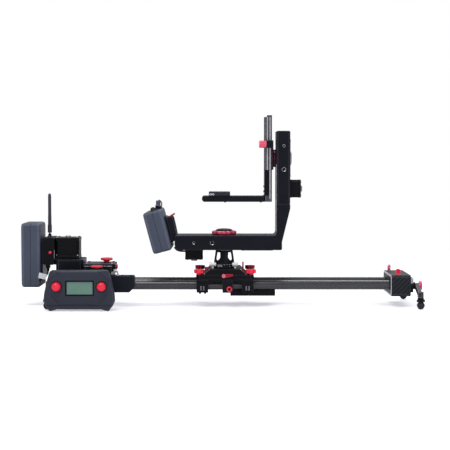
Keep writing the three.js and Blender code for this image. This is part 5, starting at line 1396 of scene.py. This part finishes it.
# the tilt wheel takes the red darkened as painted shade
on_head("tilt_wheel", wheel, shaded_red, "red_anodised", origin=(113, 0, TILT.z))
back = prism("x", rect((-27, 27), (TILT.z - 27, TILT.z + 42), 3), (110.5, 113.2), 0.6)
on_head("clamp_back", back, anodised, origin=(110, -27, TILT.z))
knob = AXLE["bracket_clamp_knob_turn"]
on_head("clamp_jaw_rear", block((99, 110.8), (20.5, 27), (TILT.z - 27, TILT.z + 42), 0.8), anodised,
        origin=(99, 20.5, TILT.z))
jaw = block((97, 110.6), (-37, -20.6), (TILT.z + 24, TILT.z + 42), 0.9)
hole = rod("x", (96, 106), (0, knob.y, knob.z), 2.8, 0)
on_head("clamp_front_block", carve(jaw, hole), anodised, origin=(97, -37, TILT.z + 24))
screws(on_head, "clamp_screws", "y", [(105, 27, z) for z in (TILT.z - 18, TILT.z + 30)], 1, 1.8, 1.3)
k_lo, k_hi = span("bracket_clamp_knob")
near, far = k_hi.x - 8.4, k_lo.x
grip = grip_knob(8.8, near, far, (0, knob.y, knob.z), 8, 0.8, "x")
piece("clamp_knob", [grip, rod("x", (near - 1, k_hi.x), (0, knob.y, knob.z), 2.4, 0.3)], pink_red,
      "bracket_clamp_knob", "red_anodised", "bracket_clamp_knob", origin=knob)

lo, hi = span("camera_bracket")
x0, x1, plate_z = 92, 110, (lo.z, lo.z + 14)
section = [(x0, -17), (x0 + 3, -20), (x0 + 5.7, -20), (x0 + 5.7, -18.6), (x0 + 8.7, -18.6), (x0 + 8.7, -20),
           (x0 + 12, -20), (x0 + 12, -18.6), (x0 + 15, -18.6), (x0 + 15, -20), (x1, -20), (x1, 20),
           (x0 + 13, 20), (x0 + 13, 18.6), (x0 + 11, 18.6), (x0 + 11, 20), (x0 + 3, 20), (x0, 17)]
post = prism("z", section, (lo.z, hi.z), 0.35)
step = block((x0 - 1, x0 + 7), (-21, 21), (hi.z - 4.6, hi.z + 1), 0)
on_bracket("bracket_post", carve(post, step), gunmetal, "rail_metal", "camera_bracket",
           origin=(x0, -20, lo.z))
for name, x, low in (("left", x0 + 7.15, 317.9), ("right", x0 + 13.45, 250)):
    on_bracket(f"post_strip_{name}", block(plus(x, 1.35), (-19.9, -18.5), (low, hi.z - 5), 0.2), steel,
               "rail_metal")
on_bracket("post_lower_face", block((x0 + 0.4, x0 + 11.6), (-20.3, -19.8), (257.6, 316.9), 0.1), hard_black,
           "rail_metal")
on_bracket("post_joint", block((x0 - 0.15, x1 + 0.15), (-20.15, 20.15), (317, 317.7), 0.1), hard_black)
body = prism("y", [(lo.x, plate_z[0] + 4), (lo.x + 4, plate_z[0]), (x0 - 0.2, plate_z[0]),
             (x0 - 0.2, plate_z[1] + 2.4), (x0 - 1.6, plate_z[1] + 0.6), (x0 - 4, plate_z[1]),
             (lo.x + 3, plate_z[1]), (lo.x, plate_z[1] - 3)], (-24, 24), 0.9, 3)
slot = [(48 + u, v) for u, v in round_rect((-30, 30), (-3.5, 3.5), 3.4)]
on_bracket("camera_platform", carve(body, prism("z", slot, (plate_z[0] - 1, plate_z[1] - 3), 0)), anodised,
           origin=(lo.x, -24, plate_z[0]))
top = plate_z[1]
clamp = prism("x", [(-30, top + 0.1), (30, top + 0.1), (30, top + 4), (24, top + 9.5), (-24, top + 9.5),
              (-30, top + 4)], (-38, 12), 0.8)
on_bracket("plate_clamp", clamp, anodised_blue, origin=(-38, -30, top))
pads = [block((-36 + 23.5 * i, -15.5 + 23.5 * i), (-20, 20), (top + 9.3, top + 9.75), 0.15) for i in range(2)]
on_bracket("plate_clamp_pads", pads, rubber, "rubber")
on_bracket("plate_clamp_lever", [prism("y", [(-37, top + 1.5), (-26, top + 1.5), (-24, top + 3),
           (-26, top + 5.5), (-37, top + 5.5)], (-33.4, -29.8), 0.8)], grey_metal, "rail_metal")
screws(on_bracket, "platform_bolts", "z", [(x, y, plate_z[0]) for x in (x0 - 8, 0) for y in (-14, 14)], -1,
       2.2, 1.6, hard_black)
screws(on_bracket, "post_bolts", "x", [(x0, y, z) for y in (-11, 11) for z in (plate_z[1] + 10,
       plate_z[1] + 22)], -1, 2.0, 1.4, hard_black)

# ---------------------------------------------------------------- floor, light and camera
def floor():
    bm = bmesh.new()
    bmesh.ops.create_grid(bm, x_segments=40, y_segments=40, size=6)
    data = bpy.data.meshes.new("floor")
    bm.to_mesh(data)
    bm.free()
    ob = bpy.data.objects.new("floor", data)
    material = bpy.data.materials.new("pale floor")
    t = Tree(material)
    tone = t.ramp(t.noise(0.8, 2), 0.3, 0.7)
    base = t.mix(tone, (0.88, 0.875, 0.9, 1), (0.9, 0.895, 0.915, 1))
    cloth = t.add("ShaderNodeBsdfPrincipled", {"Base Color": base, "Roughness": 0.8,
                  "Specular IOR Level": 0.1})
    camera_ray = t.add("ShaderNodeLightPath").outputs["Is Camera Ray"]
    glow = t.add("ShaderNodeEmission", {0: (0.93, 0.925, 1, 1), 1: t.math("MULTIPLY", camera_ray, 0.47)})
    near = t.add("ShaderNodeAddShader", {0: cloth.outputs[0], 1: glow.outputs[0]})
    white = t.add("ShaderNodeEmission", {0: (1, 1, 1, 1), 1: 1.0})
    reach = t.add("ShaderNodeVectorMath", {0: t.place}, operation="LENGTH").outputs["Value"]
    far = t.math("MULTIPLY", t.ramp(reach, 0.7, 2.0), camera_ray)
    shader = t.add("ShaderNodeMixShader", {0: far, 1: near.outputs[0], 2: white.outputs[0]})
    t.add("ShaderNodeOutputMaterial", {0: shader.outputs[0]})
    data.materials.append(material)
    bpy.context.scene.collection.objects.link(ob)


def area_light(name, place, aim, size, power, colour=(1, 1, 1)):
    data = bpy.data.lights.new(name, "AREA")
    data.shape, data.size, data.size_y, data.energy, data.color = "RECTANGLE", size[0], size[1], power, colour
    ob = bpy.data.objects.new(name, data)
    ob.location = Vector(place) + ORIGIN * MM
    ob.rotation_euler = (Vector(aim) - Vector(place)).to_track_quat("-Z", "Y").to_euler()
    bpy.context.scene.collection.objects.link(ob)


floor()
world = bpy.data.worlds.new("studio")
bpy.context.scene.world = world
world.use_nodes = True
nodes, links = world.node_tree.nodes, world.node_tree.links
nodes.clear()
path = nodes.new("ShaderNodeLightPath")
seen, soft = nodes.new("ShaderNodeBackground"), nodes.new("ShaderNodeBackground")
seen.inputs[0].default_value, seen.inputs[1].default_value = (1.0, 1.0, 1.0, 1), 1.0
soft.inputs[0].default_value, soft.inputs[1].default_value = (0.96, 0.97, 1.0, 1), 0.5
share = nodes.new("ShaderNodeMixShader")
out = nodes.new("ShaderNodeOutputWorld")
links.new(path.outputs["Is Camera Ray"], share.inputs[0])
links.new(soft.outputs[0], share.inputs[1])
links.new(seen.outputs[0], share.inputs[2])
links.new(share.outputs[0], out.inputs[0])
area_light("key", (-0.9, -1.4, 2.6), (0, 0, 0.15), (1.6, 1.6), 42, (1, 0.99, 0.98))
area_light("top", (0.5, 1.5, 2.4), (0.05, 0, 0.2), (2.2, 1.2), 34, (0.97, 0.98, 1))
area_light("fill", (1.6, -3.2, 1.3), (0.1, 0, 0.2), (1.4, 1.4), 14, (0.98, 0.98, 1))

camera = bpy.data.cameras.new("camera")
camera.lens, camera.sensor_width = 101.7, 36
eye = bpy.data.objects.new("camera", camera)
eye.location = Vector((0, -3.0, 0.341)) + ORIGIN * MM
eye.rotation_euler = (Vector((0, 0, 0.1876)) + ORIGIN * MM - eye.location).to_track_quat("-Z", "Y").to_euler()
bpy.context.scene.collection.objects.link(eye)
bpy.context.scene.camera = eye
bpy.context.scene.view_settings.view_transform = "Standard"
